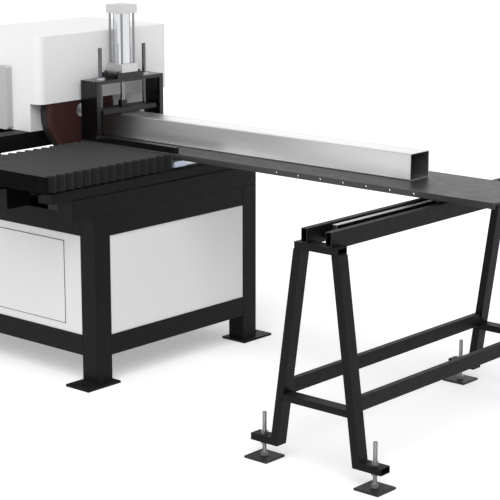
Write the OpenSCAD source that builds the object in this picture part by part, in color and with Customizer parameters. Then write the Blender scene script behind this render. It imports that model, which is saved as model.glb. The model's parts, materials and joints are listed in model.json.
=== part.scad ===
// Tube end deburring machine with a traversing clamp table and an outboard trestle.
// X runs along the workpiece, away from the disc. Y is the feed direction. Z is up.
// The origin is on the floor, in the middle of the four anchor holes of the base.

/* [Base frame] */
// Length of the base frame along the workpiece
base_l = 1230; // [1200:10:1300]
// Width of the base frame along the feed
base_w = 1150; // [1100:10:1200]
// Height of the frame's top above the floor
frame_h = 824; // [760:1:860]
// Side of the square tube of the frame
post_t = 100; // [90:1:104]
// Wall of the square tube
post_wall = 5; // [3:0.5:8]
// Height of the bottom rails' underside
skirt_z = 140; // [100:5:200]
// Foot plate length along X
foot_l = 155; // [145:1:180]
// Foot plate width along Y
foot_w = 215; // [205:1:240]
// Foot plate thickness
foot_t = 12; // [8:1:20]
// How far a foot plate reaches past the leg on its inner sides
foot_inset = 25; // [15:1:40]
// Diameter of the anchor hole in each foot plate
anchor_d = 18; // [12:1:24]
// Distance from an anchor hole to the foot plate's outer edge
anchor_edge = 40; // [30:1:45]
// Thickness of the sheet panels
panel_t = 3; // [2:0.5:5]
// How far the panels sit behind the faces of the frame
panel_recess = 4; // [3:0.5:10]
// Length of the access cover on the front panel
cover_l = 794; // [500:2:850]
// Gap between the access cover and the panel's upper and lower edges
cover_margin = 40.5; // [20:0.5:100]
// Width of the panel's lip behind the access cover
cover_lip = 15; // [10:1:25]

/* [Slide bed] */
// Distance between the centre lines of the two linear rails
gauge = 455; // [440:1:470]
// How far the bed beams stand out in front of the frame
bed_front = 137; // [100:1:160]
// Width of the rail beams that lie on the bed beams
rail_beam_w = 90; // [70:1:95]
// Height of the rail beams
rail_beam_h = 50; // [40:1:56]
// How far the rail beams stand out in front of the frame
rail_beam_front = 260; // [220:5:280]
// How far the rail beams stand out behind the frame
rail_beam_back = 112; // [90:1:130]
// Width of a linear rail
rail_w = 23; // [18:1:26]
// Height of a linear rail
rail_h = 23; // [18:1:26]
// Distance from a beam's end to the end of its rail
rail_end = 50; // [44:1:70]
// Width of a guide block
block_w = 48; // [44:1:60]
// Length of a guide block
block_l = 82; // [70:1:100]
// Height from the seat of a rail to the top of its guide block
guide_h = 40; // [36:1:44]
// Gap from the seat of a rail to the underside of its guide block
block_lift = 6; // [4:0.5:8]
// Distance from the table's front edge to the first guide blocks
block_inset = 84; // [60:1:100]
// Distance between the two guide blocks of one rail
block_pitch = 187; // [150:1:220]
// Diameter of the rodless feed cylinder
feed_d = 50; // [40:1:60]
// Length of the feed cylinder's end caps
feed_cap_l = 70; // [50:1:90]
// Side of the feed cylinder's end caps
feed_cap_w = 80; // [70:1:90]
// Length of the feed cylinder's slider
slider_l = 120; // [90:1:150]

/* [Bellows] */
// Width of a bellows over its fold peaks
bellows_w = 631; // [610:1:640]
// How far the bellows' roof lies under the table's top
bellows_drop = 4; // [2:0.5:8]
// Depth of the bellows' side skirts
skirt_h = 68; // [58:1:69]
// Depth of one fold
fold_d = 28; // [10:1:32]
// Number of folds in each bellows
folds = 15; // [8:1:20]
// Thickness of the bellows' cloth walls
cloth_t = 3; // [2:0.5:5]
// Thickness of the bellows' end plates
end_plate_t = 6; // [4:0.5:10]
// Distance from the front end plate to the rail beams
front_reach = 64; // [50:1:80]
// Distance from the rear end plate to the rail beams
rear_reach = 28; // [20:1:40]
// Thickness of the bellows' plates on the carriage
moving_plate_t = 5; // [3:0.5:8]

/* [Carriage and table] */
// Distance from the base's end face back to the carriage plate's far end
carriage_in = 600; // [590:1:606]
// Length of the carriage plate along X
carriage_l = 655; // [650:1:680]
// Width of the carriage plate along Y
carriage_w = 485; // [480:1:500]
// Thickness of the carriage plate
carriage_t = 25; // [20:1:28]
// Height of the riser blocks under the carriage plate
riser_h = 31; // [30:0.5:41]
// Length of the table that stands out past the carriage plate
table_l = 1823; // [1760:1:1850]
// Width of the table
table_w = 435; // [420:1:470]
// Thickness of the table's sheet
table_t = 6; // [4:0.5:7]
// Height of the table's flanges
flange_h = 27; // [24:1:30]
// Number of holes in the front flange
hole_count = 10; // [4:1:11]
// Distance between the holes in the front flange
hole_pitch = 129; // [100:1:132]
// Distance from the table's free end to the last hole
hole_end = 282; // [200:1:300]
// Diameter of the holes in the front flange
hole_d = 9; // [6:0.5:10]
// Length of the fence bar
fence_l = 542; // [400:1:600]
// Height of the fence bar
fence_h = 30; // [20:1:40]
// Thickness of the fence bar
fence_t = 25; // [15:1:26]

/* [Clamp] */
// Width of the clamp's plates along X
clamp_w = 116; // [114:1:125]
// Distance over the clamp's two legs along Y
clamp_span = 476; // [470:1:480]
// Thickness of a clamp leg
clamp_leg_t = 26; // [20:1:28]
// Height of the clamp legs
clamp_h = 300; // [290:1:330]
// Thickness of the clamp's top plate
clamp_top_t = 18; // [15:1:22]
// Length of the cylinder's mount block
mount_l = 180; // [150:1:200]
// Thickness of the cylinder's mount block
mount_t = 26; // [20:1:35]
// Side of the clamp cylinder's square end caps
cap_w = 112; // [108:1:114]
// Height of the clamp cylinder's end caps
cap_h = 44; // [35:1:50]
// Height of the clamp cylinder over both end caps
clamp_cyl_h = 341; // [330:1:400]
// Bore of the clamp cylinder
clamp_bore = 80; // [70:1:84]
// Wall of the clamp cylinder's barrel
barrel_wall = 4; // [3:0.5:5]
// Diameter of the tie rods
tie_d = 12; // [8:0.5:13]
// Thickness of the piston
piston_t = 20; // [15:1:25]
// Diameter of the piston rod
rod_d = 25; // [16:1:30]
// Diameter of the two guide rods
guide_d = 20; // [16:1:24]
// Distance between the two guide rods
guide_pitch = 312; // [300:1:330]
// How far the guide rods stand above the clamp's top plate
guide_out = 158; // [120:1:200]
// Diameter of the guide bushes' flanges
bush_flange_d = 50; // [46:1:56]
// Length of the presser plate
presser_l = 380; // [370:1:400]
// Width of the presser plate
presser_w = 106; // [90:1:110]
// Thickness of the presser plate
presser_t = 22; // [18:1:28]
// Thickness of the presser's pad
pad_t = 6; // [4:1:10]
// Diameter of the coupling between piston rod and presser
coupling_d = 46; // [40:1:50]
// Height of the coupling
coupling_h = 32; // [25:1:34]

/* [Workpiece tube] */
// Width of the rectangular tube that is loaded in the clamp
work_w = 140; // [110:1:146]
// Height of the workpiece tube
work_h = 120; // [100:1:126]
// Length of the workpiece tube
work_l = 1945; // [1200:5:2000]
// Wall of the workpiece tube
work_wall = 3; // [2:0.5:6]
// Outer corner radius of the workpiece tube
work_r = 5; // [4:0.5:12]

/* [Disc and drive] */
// Diameter of the abrasive disc
disc_d = 450; // [420:5:460]
// Thickness of the disc's steel backing
backing_t = 38; // [30:1:42]
// Thickness of the abrasive face
abrasive_t = 22; // [15:1:24]
// Height of the spindle's axis above its base plate
spindle_rise = 66; // [65:1:72]
// Distance of the spindle's axis in front of the frame's middle
spindle_front = 50; // [30:1:70]
// Diameter of the spindle
spindle_d = 50; // [40:1:54]
// Length of the spindle behind the disc
spindle_l = 380; // [370:1:390]
// Diameter of the hub cap
hub_d = 68; // [60:1:80]
// Diameter of the spindle's bearings
bearing_d = 90; // [86:1:94]
// Width of a spindle bearing
bearing_w = 23; // [18:1:28]
// Diameter of the spindle's pulley
spindle_pulley_d = 106; // [90:1:110]
// Diameter of the motor's pulley
motor_pulley_d = 125; // [100:1:140]
// Width of the pulleys
pulley_w = 44; // [36:1:50]
// Thickness of the drive belt
belt_t = 4; // [3:0.5:5]
// Distance between spindle and motor along the feed
drive_reach = 300; // [280:5:320]
// Height of the motor's shaft above the mounting plate
motor_shaft_h = 132; // [125:1:140]
// Diameter of the motor's body
motor_d = 210; // [180:2:236]
// Length of the motor's body
motor_l = 270; // [240:5:280]
// Diameter of the motor's shaft
motor_shaft_d = 38; // [28:1:42]

/* [Hood] */
// Length of the hood along X
hood_l = 610; // [606:1:612]
// Width of the hood along Y
hood_w = 913; // [880:1:913]
// Height of the hood
hood_h = 475; // [422:1:572]
// Height of the hood's cut-out over the disc
cut_out_h = 140; // [122:1:172]
// Sheet thickness of the hood
hood_t = 3; // [2:0.5:4]
// Radius of the hood's upright corners
hood_r = 40; // [20:1:60]
// Height of the bridge beams' top above the frame
bridge_rise = 304; // [300:1:306]
// Height of a bridge beam
bridge_t = 82; // [70:1:90]
// Thickness of the posts under the bridge beams
bridge_post_t = 40; // [30:1:60]
// Thickness of the spindle plate
spindle_plate_t = 20; // [15:1:22]
// Length of the control box on the hood's near wall
box_l = 390; // [300:1:390]
// Depth of the control box
box_w = 38; // [30:1:60]
// Height of the control box
box_h = 316; // [250:1:350]
// Corner radius of the control box
box_r = 14; // [8:1:18]

/* [Trestle] */
// Long side of the trestle's rectangular tube
rhs_w = 60; // [56:1:62]
// Short side of the trestle's rectangular tube
rhs_t = 30; // [26:1:32]
// Wall of the trestle's tube
rhs_wall = 3; // [2:0.5:4]
// Thickness of a leg, seen along the feed
leg_t = 38; // [32:1:42]
// Distance from the base's end face to the middle of the trestle
trestle_x = 1525; // [1450:5:1560]
// Distance of the trestle's middle in front of the frame's middle
trestle_front = 67; // [50:1:80]
// Distance between the trestle's two end frames
trestle_l = 1450; // [1420:10:1500]
// Height of the riser between the trestle's guide blocks and the table
trestle_riser_h = 18; // [10:1:24]
// Length of the crossbars
crossbar_l = 224; // [210:2:240]
// Distance over the two legs at their feet
leg_spread = 471; // [440:1:490]
// Height of the brackets' underside
bracket_z = 76; // [66:1:90]
// Distance over the two brackets of an end frame
bracket_span = 684; // [670:2:700]
// Height of the short ties' top
tie_z = 312; // [200:2:350]
// How far the long stretchers' underside lies under the ties' top
stretcher_drop = 11; // [0:1:20]
// Distance over the trestle's two beams
beam_span = 155; // [150:1:170]
// How far the beams stand out past the end frames' middle
beam_out = 27; // [10:1:60]
// Height of the flat bars under the beams
flat_t = 12; // [6:1:16]
// Side of the bar that carries the trestle's rail
mid_bar_t = 40; // [38:1:42]
// Width of the floor plate's thickness under the rail bar
floor_t = 6; // [4:0.5:8]
// Length of the trestle's rail
trestle_rail_l = 1268; // [1240:2:1300]
// Diameter of a levelling screw
screw_d = 18; // [14:1:20]
// Distance over the levelling screws of an end frame
screw_span = 582; // [560:2:590]
// Height of a levelling screw's top
screw_top = 202; // [150:1:220]
// Width across the flats of the levelling nuts
nut_af = 28; // [26:1:32]
// Height of a levelling nut
nut_h = 13; // [8:0.5:15]
// Side of a square foot pad
pad_w = 122; // [100:1:140]
// Thickness of a foot pad
foot_pad_t = 10; // [6:1:12]

/* [Hidden] */
$fn = 48;

// Overrun of every cut past the face that it leaves
cut = 1;
// Gap beside a part that moves past without touching
run_gap = 0.3;
// Radial clearance of a shaft in its bore
fit_gap = 0.05;
// Height of a hexagon's side over its centre, as a share of its corner radius
hex_share = cos(30);
full_turn = 360;

// Places on the base
right_x = base_l / 2;
back_y = base_w / 2;
foot_x = right_x - post_t - foot_inset + foot_l / 2;
foot_y = back_y - post_t - foot_inset + foot_w / 2;
anchor_y = foot_y + foot_w / 2 - anchor_edge;
top_rail_z = frame_h - post_t;
skirt_top = skirt_z + post_t;
window_h = top_rail_z - skirt_top;
cover_h = window_h - cover_margin * 2;
inner_l = base_l - post_t * 2;
inner_w = base_w - post_t * 2;

// Places on the slide bed
bed_x = right_x - post_t / 2 - gauge / 2;
rail_xs = [bed_x - gauge / 2, bed_x + gauge / 2];
bed_top = frame_h + post_t;
rail_seat = bed_top + rail_beam_h;
rail_beam_y0 = -back_y - rail_beam_front;
rail_beam_y1 = back_y + rail_beam_back;
rail_y0 = rail_beam_y0 + rail_end;
rail_y1 = rail_beam_y1 - rail_end;

// Places on the carriage
table_y0 = -85;
carriage_x0 = right_x - carriage_in;
carriage_x1 = carriage_x0 + carriage_l;
carriage_y1 = table_y0 + carriage_w;
block_top = rail_seat + guide_h;
carriage_z = block_top + riser_h;
table_h = carriage_z + carriage_t;
block_ys = [table_y0 + block_inset, table_y0 + block_inset + block_pitch];
riser_inset = 30;
table_under = table_h - table_t;
flange_z = table_h - flange_h;
lap_l = 56;
lap_t = 8;
hole_drop = 13;

// Places on the feed cylinder
feed_z = frame_h + feed_cap_w / 2;
feed_y = back_y - feed_cap_l;
slider_y = table_y0 + carriage_w / 2;
slider_wall = 12;
slider_neck = 36;

// Places on the bellows
front_plate_y = rail_beam_y0 - front_reach;
rear_plate_y = rail_beam_y1 + rear_reach;
bellows_top = table_h - bellows_drop;
skirt_foot = bellows_top - skirt_h;
plate_rim = 8;
plate_drop = 10;
plate_top = bellows_top - moving_plate_t;
angle_w = 40;
angle_t = 6;
angle_foot = 36;

// Places on the clamp
clamp_x = carriage_x0 + clamp_w / 2;
clamp_inset = 7;
clamp_y0 = table_y0 + clamp_inset;
clamp_y1 = clamp_y0 + clamp_span;
clamp_y = (clamp_y0 + clamp_y1) / 2;
clamp_top = table_h + clamp_h;
clamp_under = clamp_top - clamp_top_t;
mount_top = clamp_top + mount_t;
cylinder_top = mount_top + clamp_cyl_h;
barrel_z = mount_top + cap_h;
barrel_h = clamp_cyl_h - cap_h * 2;
tie_edge = 14;
tie_at = cap_w / 2 - tie_edge;
work_z = table_h + run_gap;
pad_z = work_z + work_h + run_gap;
presser_z = pad_z + pad_t;
presser_top = presser_z + presser_t;
coupling_top = presser_top + coupling_h;
piston_z = barrel_z + piston_t / 2;
clamp_screw_d = 8;
clamp_head_d = 13;
clamp_head_h = 5;
clamp_screw_l = 30;
clamp_screw_edge = 14;
bush_wall = 6;
bush_flange_t = 8;
rod_slot = 4;

// Places on the disc and its drive
disc_gap = 2;
disc_clear = 25;
disc_x = carriage_x0 - disc_clear;
work_x = disc_x + disc_gap;
abrasive_x = disc_x - abrasive_t;
backing_x = abrasive_x - backing_t;
spindle_y = -spindle_front;
hub_gap = 2;
bridge_h = frame_h + bridge_rise;
plate_z = bridge_h + spindle_plate_t;
spindle_z = plate_z + spindle_rise;
hood_edge = bridge_h + cut_out_h;
motor_y = spindle_y + drive_reach;
motor_z = plate_z + motor_shaft_h;
pulley_x = backing_x - spindle_l + pulley_w / 2;
belt_side = 4;
belt_steps = 24;
belt_w = pulley_w - belt_side * 2;
rim_t = 3;
housing_t = 36;
housing_w = 130;
bearing_in = 60;
bearing_pitch = 180;
bearing_xs = [backing_x - bearing_in, backing_x - bearing_in - bearing_pitch];
motor_x0 = pulley_x + pulley_w;
motor_foot_w = 170;

// Places on the hood
hood_over = 5;
hood_x1 = disc_x + hood_over;
hood_x0 = hood_x1 - hood_l;
hood_y1 = back_y;
hood_y0 = hood_y1 - hood_w;
guard_gap = 7;
guard_x = backing_x - guard_gap;
cut_r = 9;
bridge_w = post_t;
bridge_xs = [guard_x - bridge_w / 2, hood_x0 + bridge_w];
bridge_z = bridge_h - bridge_t;
plate_edge = 20;

// Places on the trestle
mid_x = right_x + trestle_x;
mid_y = -trestle_front;
crossbar_h = table_under - trestle_riser_h - guide_h - mid_bar_t;
crossbar_z = crossbar_h - rhs_t;
leg_slope = (leg_spread - crossbar_l) / 2 / (crossbar_h - bracket_z);
beam_l = trestle_l + beam_out * 2;
stretcher_z = tie_z - stretcher_drop;
bar_top = crossbar_h + mid_bar_t;
trestle_seat = bar_top;
trestle_block_top = trestle_seat + guide_h;

// Half the distance over the trestle's legs at a height
function leg_at(z) = leg_spread / 2 - (z - bracket_z) * leg_slope;

// Repeated shapes
module tube_x(l, w, h, wall) {
    difference() {
        cube([l, w, h]);
        translate([-cut, wall, wall]) cube([l + cut * 2, w - wall * 2, h - wall * 2]);
    }
}

module tube_y(w, l, h, wall) {
    difference() {
        cube([w, l, h]);
        translate([wall, -cut, wall]) cube([w - wall * 2, l + cut * 2, h - wall * 2]);
    }
}

module tube_z(w, l, h, wall) {
    difference() {
        cube([w, l, h]);
        translate([wall, wall, -cut]) cube([w - wall * 2, l - wall * 2, h + cut * 2]);
    }
}

module rod_x(d, l) {
    rotate([0, 90, 0]) cylinder(d = d, h = l);
}

module rod_y(d, l) {
    rotate([-90, 0, 0]) cylinder(d = d, h = l);
}

module round_plate(l, w, h, r) {
    translate([r, 0, 0]) cube([l - r * 2, w, h]);
    translate([0, r, 0]) cube([l, w - r * 2, h]);
    for (x = [r, l - r], y = [r, w - r]) {
        translate([x, y, 0]) cylinder(r = r, h = h);
    }
}

module hex_nut(af, bore, h) {
    difference() {
        cylinder(d = af / hex_share, h = h, $fn = 6);
        translate([0, 0, -cut]) cylinder(d = bore, h = h + cut * 2, $fn = 48);
    }
}

// Base frame
module foot_plates() {
    color("#2b2c2e")
    for (sx = [-1, 1], sy = [-1, 1]) {
        difference() {
            translate([sx * foot_x - foot_l / 2, sy * foot_y - foot_w / 2, 0])
                cube([foot_l, foot_w, foot_t]);
            translate([sx * foot_x, sy * anchor_y, -cut]) cylinder(d = anchor_d, h = foot_t + cut * 2);
        }
    }
}

module base_legs() {
    color("#232426")
    for (x = [-right_x, right_x - post_t], y = [-back_y, back_y - post_t]) {
        translate([x, y, foot_t]) tube_z(post_t, post_t, frame_h - foot_t, post_wall);
    }
}

module base_rails() {
    color("#232426")
    for (z = [skirt_z, top_rail_z]) {
        for (y = [-back_y, back_y - post_t]) {
            translate([-inner_l / 2, y, z]) tube_x(inner_l, post_t, post_t, post_wall);
        }
        for (x = [-right_x, right_x - post_t]) {
            translate([x, -inner_w / 2, z]) tube_y(post_t, inner_w, post_t, post_wall);
        }
    }
}

module front_panel() {
    color("#e6e7e8")
    translate([0, -back_y + panel_recess, skirt_top])
    difference() {
        translate([-inner_l / 2, 0, 0]) cube([inner_l, panel_t, window_h]);
        translate([-cover_l / 2 + cover_lip, -cut, window_h / 2 - cover_h / 2 + cover_lip])
            cube([cover_l - cover_lip * 2, panel_t + cut * 2, cover_h - cover_lip * 2]);
    }
}

module access_cover() {
    color("#e9eaeb")
    translate([-cover_l / 2, -back_y + panel_recess - panel_t, skirt_top + window_h / 2 - cover_h / 2])
        cube([cover_l, panel_t, cover_h]);
}

module side_panels() {
    color("#e6e7e8") {
        for (x = [-right_x + panel_recess, right_x - panel_recess - panel_t]) {
            translate([x, -inner_w / 2, skirt_top]) cube([panel_t, inner_w, window_h]);
        }
        translate([-inner_l / 2, back_y - panel_recess - panel_t, skirt_top])
            cube([inner_l, panel_t, window_h]);
    }
}

// Slide bed
module bed_beams() {
    color("#232426")
    for (x = rail_xs) {
        translate([x - post_t / 2, -back_y - bed_front, frame_h])
            tube_y(post_t, base_w + bed_front, post_t, post_wall);
    }
}

module rail_beams() {
    color("#262729")
    for (x = rail_xs) {
        translate([x - rail_beam_w / 2, rail_beam_y0, bed_top])
            tube_y(rail_beam_w, rail_beam_y1 - rail_beam_y0, rail_beam_h, post_wall);
    }
}

module linear_rail(l) {
    translate([-rail_w / 2, 0, 0]) cube([rail_w, l, rail_h]);
}

module linear_rails() {
    color("#8d9299") {
        for (x = rail_xs) {
            translate([x, rail_y0, rail_seat]) linear_rail(rail_y1 - rail_y0);
        }
        translate([mid_x, mid_y - trestle_rail_l / 2, trestle_seat]) linear_rail(trestle_rail_l);
    }
}

module feed_tube() {
    color("#b9bdc2")
    translate([bed_x, -feed_y, feed_z]) rod_y(feed_d, feed_y * 2);
}

module feed_end_caps() {
    color("#3a3c40")
    for (y = [-back_y, feed_y]) {
        translate([bed_x - feed_cap_w / 2, y, frame_h]) cube([feed_cap_w, feed_cap_l, feed_cap_w]);
    }
}

// Bellows, as a roof with two folded skirts
function fold_x(i) = i % 2 == 0 ? 0 : fold_d;

function fold_outline(l, inset) = let (step = l / folds / 2) concat(
    [for (i = [0:folds * 2]) [-bellows_w / 2 + inset + fold_x(i), i * step]],
    [for (i = [folds * 2:-1:0]) [bellows_w / 2 - inset - fold_x(i), i * step]]
);

module bellows(l) {
    difference() {
        linear_extrude(skirt_h) polygon(fold_outline(l, 0));
        translate([0, 0, -cloth_t]) linear_extrude(skirt_h) polygon(fold_outline(l, cloth_t));
    }
}

module bellows_front() {
    color("#4a4b4d")
    translate([bed_x, front_plate_y, skirt_foot]) bellows(table_y0 - moving_plate_t - front_plate_y);
}

module bellows_rear() {
    color("#4a4b4d")
    translate([bed_x, carriage_y1 + moving_plate_t, skirt_foot])
        bellows(rear_plate_y - carriage_y1 - moving_plate_t);
}

module end_plate(reach) {
    translate([-bellows_w / 2 - plate_rim, -end_plate_t, skirt_foot - plate_drop])
        cube([bellows_w + plate_rim * 2, end_plate_t, bellows_top - skirt_foot + plate_drop]);
    for (s = [-1, 1]) {
        translate([s * gauge / 2 - angle_w / 2, -end_plate_t, rail_seat])
            cube([angle_w, angle_t + end_plate_t, skirt_foot - rail_seat + angle_w]);
        translate([s * gauge / 2 - angle_w / 2, -end_plate_t, rail_seat])
            cube([angle_w, end_plate_t + reach + angle_foot, angle_t]);
    }
}

module bellows_end_plates() {
    color("#18191a") {
        translate([bed_x, front_plate_y, 0]) end_plate(front_reach);
        translate([bed_x, rear_plate_y, 0]) mirror([0, 1, 0]) end_plate(rear_reach);
    }
}

module bellows_carriage_plates() {
    color("#4c5350")
    for (y = [table_y0 - moving_plate_t, carriage_y1]) {
        translate([bed_x - bellows_w / 2, y, skirt_foot + cloth_t])
            cube([bellows_w, moving_plate_t, plate_top - skirt_foot]);
    }
}

// Carriage and table
module guide_block() {
    difference() {
        translate([-block_w / 2, 0, block_lift]) cube([block_w, block_l, guide_h - block_lift]);
        translate([-rail_w / 2 - run_gap, -cut, 0])
            cube([rail_w + run_gap * 2, block_l + cut * 2, rail_h + run_gap]);
    }
}

module guide_blocks() {
    color("#a9b0bd")
    for (y = block_ys) {
        for (x = rail_xs) {
            translate([x, y, rail_seat]) guide_block();
        }
        translate([mid_x, y, trestle_seat]) guide_block();
    }
}

module block_risers() {
    color("#2a2b2d")
    for (x = rail_xs) {
        translate([x - rail_beam_w / 2, table_y0 + riser_inset, block_top])
            cube([rail_beam_w, carriage_w - riser_inset * 2, riser_h]);
    }
    color("#2a2b2d")
    translate([mid_x - block_w / 2, table_y0 + riser_inset, trestle_block_top])
        cube([block_w, table_w - riser_inset * 2, trestle_riser_h]);
}

module carriage_plate() {
    color("#1f2022")
    translate([carriage_x0, table_y0, carriage_z]) cube([carriage_l, carriage_w, carriage_t]);
}

module table_plate() {
    color("#3d4042")
    difference() {
        translate([carriage_x1, table_y0, 0])
        union() {
            translate([0, 0, table_under]) cube([table_l, table_w, table_t]);
            for (y = [0, table_w - table_t]) {
                translate([0, y, flange_z]) cube([table_l, table_t, flange_h]);
            }
            translate([0, 0, carriage_z - lap_t]) cube([lap_t, table_w, carriage_t + lap_t - table_t]);
            translate([-lap_l, 0, carriage_z - lap_t]) cube([lap_l + lap_t, table_w, lap_t]);
        }
        for (i = [0:hole_count - 1]) {
            translate([carriage_x1 + table_l - hole_end - i * hole_pitch, table_y0 - cut, table_h - hole_drop])
                rod_y(hole_d, table_t + cut * 2);
        }
    }
}

module fence_bar() {
    color("#141516")
    translate([carriage_x0 + clamp_w, table_y0, table_h]) cube([fence_l, fence_t, fence_h]);
}

module feed_slider() {
    color("#3a3c40")
    translate([bed_x, slider_y - slider_l / 2, feed_z])
    difference() {
        union() {
            translate([-feed_d / 2 - slider_wall, 0, -feed_d / 2 - slider_wall])
                cube([feed_d + slider_wall * 2, slider_l, feed_d + slider_wall * 2]);
            translate([-slider_neck / 2, 0, feed_d / 2])
                cube([slider_neck, slider_l, carriage_z - feed_z - feed_d / 2]);
        }
        translate([0, -cut, 0]) rod_y(feed_d + fit_gap * 2, slider_l + cut * 2);
    }
}

// Clamp
module clamp_screw_at(y, turn) {
    for (s = [-1, 1]) {
        translate([clamp_x + s * (clamp_w / 2 - clamp_screw_edge), y, clamp_top - clamp_top_t / 2])
            rotate([0, 0, turn]) children();
    }
}

module clamp_screw(d) {
    rod_y(d, clamp_leg_t + clamp_screw_l);
}

module clamp_legs() {
    color("#0f1011")
    difference() {
        for (y = [clamp_y0, clamp_y1 - clamp_leg_t]) {
            translate([clamp_x - clamp_w / 2, y, table_h]) cube([clamp_w, clamp_leg_t, clamp_h]);
        }
        clamp_screw_at(clamp_y0, 0) translate([0, -cut, 0]) clamp_screw(clamp_screw_d + fit_gap * 2);
        clamp_screw_at(clamp_y1, 180) translate([0, -cut, 0]) clamp_screw(clamp_screw_d + fit_gap * 2);
    }
}

module clamp_screws() {
    color("#9a9ea3") {
        clamp_screw_at(clamp_y0, 0) clamp_bolt();
        clamp_screw_at(clamp_y1, 180) clamp_bolt();
    }
}

module clamp_bolt() {
    clamp_screw(clamp_screw_d);
    translate([0, -clamp_head_h, 0])
    difference() {
        rod_y(clamp_head_d, clamp_head_h);
        translate([0, -cut, 0]) rotate([-90, 0, 0])
            cylinder(d = clamp_screw_d / hex_share, h = clamp_head_h / 2 + cut, $fn = 6);
    }
}

module clamp_top_plate() {
    color("#0f1011")
    difference() {
        translate([clamp_x - clamp_w / 2, clamp_y0 + clamp_leg_t, clamp_under])
            cube([clamp_w, clamp_span - clamp_leg_t * 2, clamp_top_t]);
        translate([clamp_x, clamp_y, clamp_under - cut])
            cylinder(d = rod_d + rod_slot, h = clamp_top_t + cut * 2);
        for (s = [-1, 1]) {
            translate([clamp_x, clamp_y + s * guide_pitch / 2, clamp_under - cut])
                cylinder(d = guide_d + bush_wall * 2 + fit_gap * 2, h = clamp_top_t + cut * 2);
        }
        clamp_screw_at(clamp_y0, 0) clamp_screw(clamp_screw_d + fit_gap * 2);
        clamp_screw_at(clamp_y1, 180) clamp_screw(clamp_screw_d + fit_gap * 2);
    }
}

module guide_bushes() {
    color("#b8bbbf")
    for (s = [-1, 1]) {
        translate([clamp_x, clamp_y + s * guide_pitch / 2, 0])
        difference() {
            union() {
                translate([0, 0, clamp_under]) cylinder(d = guide_d + bush_wall * 2, h = clamp_top_t);
                translate([0, 0, clamp_top]) cylinder(d = bush_flange_d, h = bush_flange_t);
            }
            translate([0, 0, clamp_under - cut])
                cylinder(d = guide_d + fit_gap * 2, h = clamp_top_t + bush_flange_t + cut * 2);
        }
    }
}

module cylinder_mount() {
    color("#101112")
    difference() {
        translate([clamp_x - clamp_w / 2, clamp_y - mount_l / 2, clamp_top]) cube([clamp_w, mount_l, mount_t]);
        translate([clamp_x, clamp_y, clamp_top - cut]) cylinder(d = rod_d + rod_slot, h = mount_t + cut * 2);
    }
}

module clamp_cylinder_caps() {
    color("#aeb2b6") {
        translate([clamp_x, clamp_y, mount_top])
        difference() {
            translate([-cap_w / 2, -cap_w / 2, 0]) cube([cap_w, cap_w, cap_h]);
            translate([0, 0, -cut]) cylinder(d = rod_d + fit_gap * 2, h = cap_h + cut * 2);
        }
        translate([clamp_x - cap_w / 2, clamp_y - cap_w / 2, cylinder_top - cap_h]) cube([cap_w, cap_w, cap_h]);
    }
}

module clamp_cylinder_barrel() {
    color("#d5d8da")
    translate([clamp_x, clamp_y, barrel_z])
    difference() {
        cylinder(d = clamp_bore + barrel_wall * 2, h = barrel_h);
        translate([0, 0, -cut]) cylinder(d = clamp_bore, h = barrel_h + cut * 2);
    }
}

module clamp_tie_rods() {
    color("#55585c")
    for (sx = [-1, 1], sy = [-1, 1]) {
        translate([clamp_x + sx * tie_at, clamp_y + sy * tie_at, barrel_z]) cylinder(d = tie_d, h = barrel_h);
    }
}

module clamp_rod() {
    color("#c9ccd0")
    translate([clamp_x, clamp_y, 0]) {
        translate([0, 0, coupling_top]) cylinder(d = rod_d, h = piston_z - coupling_top);
        translate([0, 0, piston_z]) cylinder(d = clamp_bore - fit_gap * 2, h = piston_t);
    }
}

module rod_coupling() {
    color("#111213")
    translate([clamp_x, clamp_y, presser_top]) cylinder(d = coupling_d, h = coupling_h);
}

module guide_rods() {
    color("#7d8085")
    for (s = [-1, 1]) {
        translate([clamp_x, clamp_y + s * guide_pitch / 2, presser_top])
            cylinder(d = guide_d, h = clamp_top + guide_out - presser_top);
    }
}

module presser_plate() {
    color("#1c1d1f")
    translate([clamp_x - presser_w / 2, clamp_y - presser_l / 2, presser_z])
        cube([presser_w, presser_l, presser_t]);
}

module presser_pad() {
    color("#17181a")
    translate([clamp_x - presser_w / 2, clamp_y - work_w / 2, pad_z]) cube([presser_w, work_w, pad_t]);
}

// Workpiece
module work_section(w, h, r) {
    translate([-w / 2 + r, -h / 2]) square([w - r * 2, h]);
    translate([-w / 2, -h / 2 + r]) square([w, h - r * 2]);
    for (sx = [-1, 1], sy = [-1, 1]) {
        translate([sx * (w / 2 - r), sy * (h / 2 - r)]) circle(r = r);
    }
}

module workpiece_tube() {
    color("#a8adb0")
    translate([work_x, clamp_y, work_z + work_h / 2])
    rotate([90, 0, 90])
    difference() {
        linear_extrude(work_l) work_section(work_w, work_h, work_r);
        translate([0, 0, -cut]) linear_extrude(work_l + cut * 2)
            work_section(work_w - work_wall * 2, work_h - work_wall * 2, work_r - work_wall);
    }
}

// Disc, spindle and drive
module on_spindle(x) {
    translate([x, spindle_y, spindle_z]) children();
}

module abrasive_disc() {
    color("#3a2020")
    on_spindle(abrasive_x)
    difference() {
        rod_x(disc_d, abrasive_t, $fn = 96);
        translate([-cut, 0, 0]) rod_x(hub_d + hub_gap * 2, abrasive_t + cut * 2);
    }
}

module backing_disc() {
    color("#333436")
    on_spindle(backing_x) rod_x(disc_d, backing_t, $fn = 96);
}

module hub_cap() {
    color("#b9bcc0")
    on_spindle(abrasive_x) rod_x(hub_d, abrasive_t - hub_gap);
}

module spindle_shaft() {
    color("#9fa3a8")
    on_spindle(backing_x - spindle_l) rod_x(spindle_d, spindle_l);
}

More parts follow.
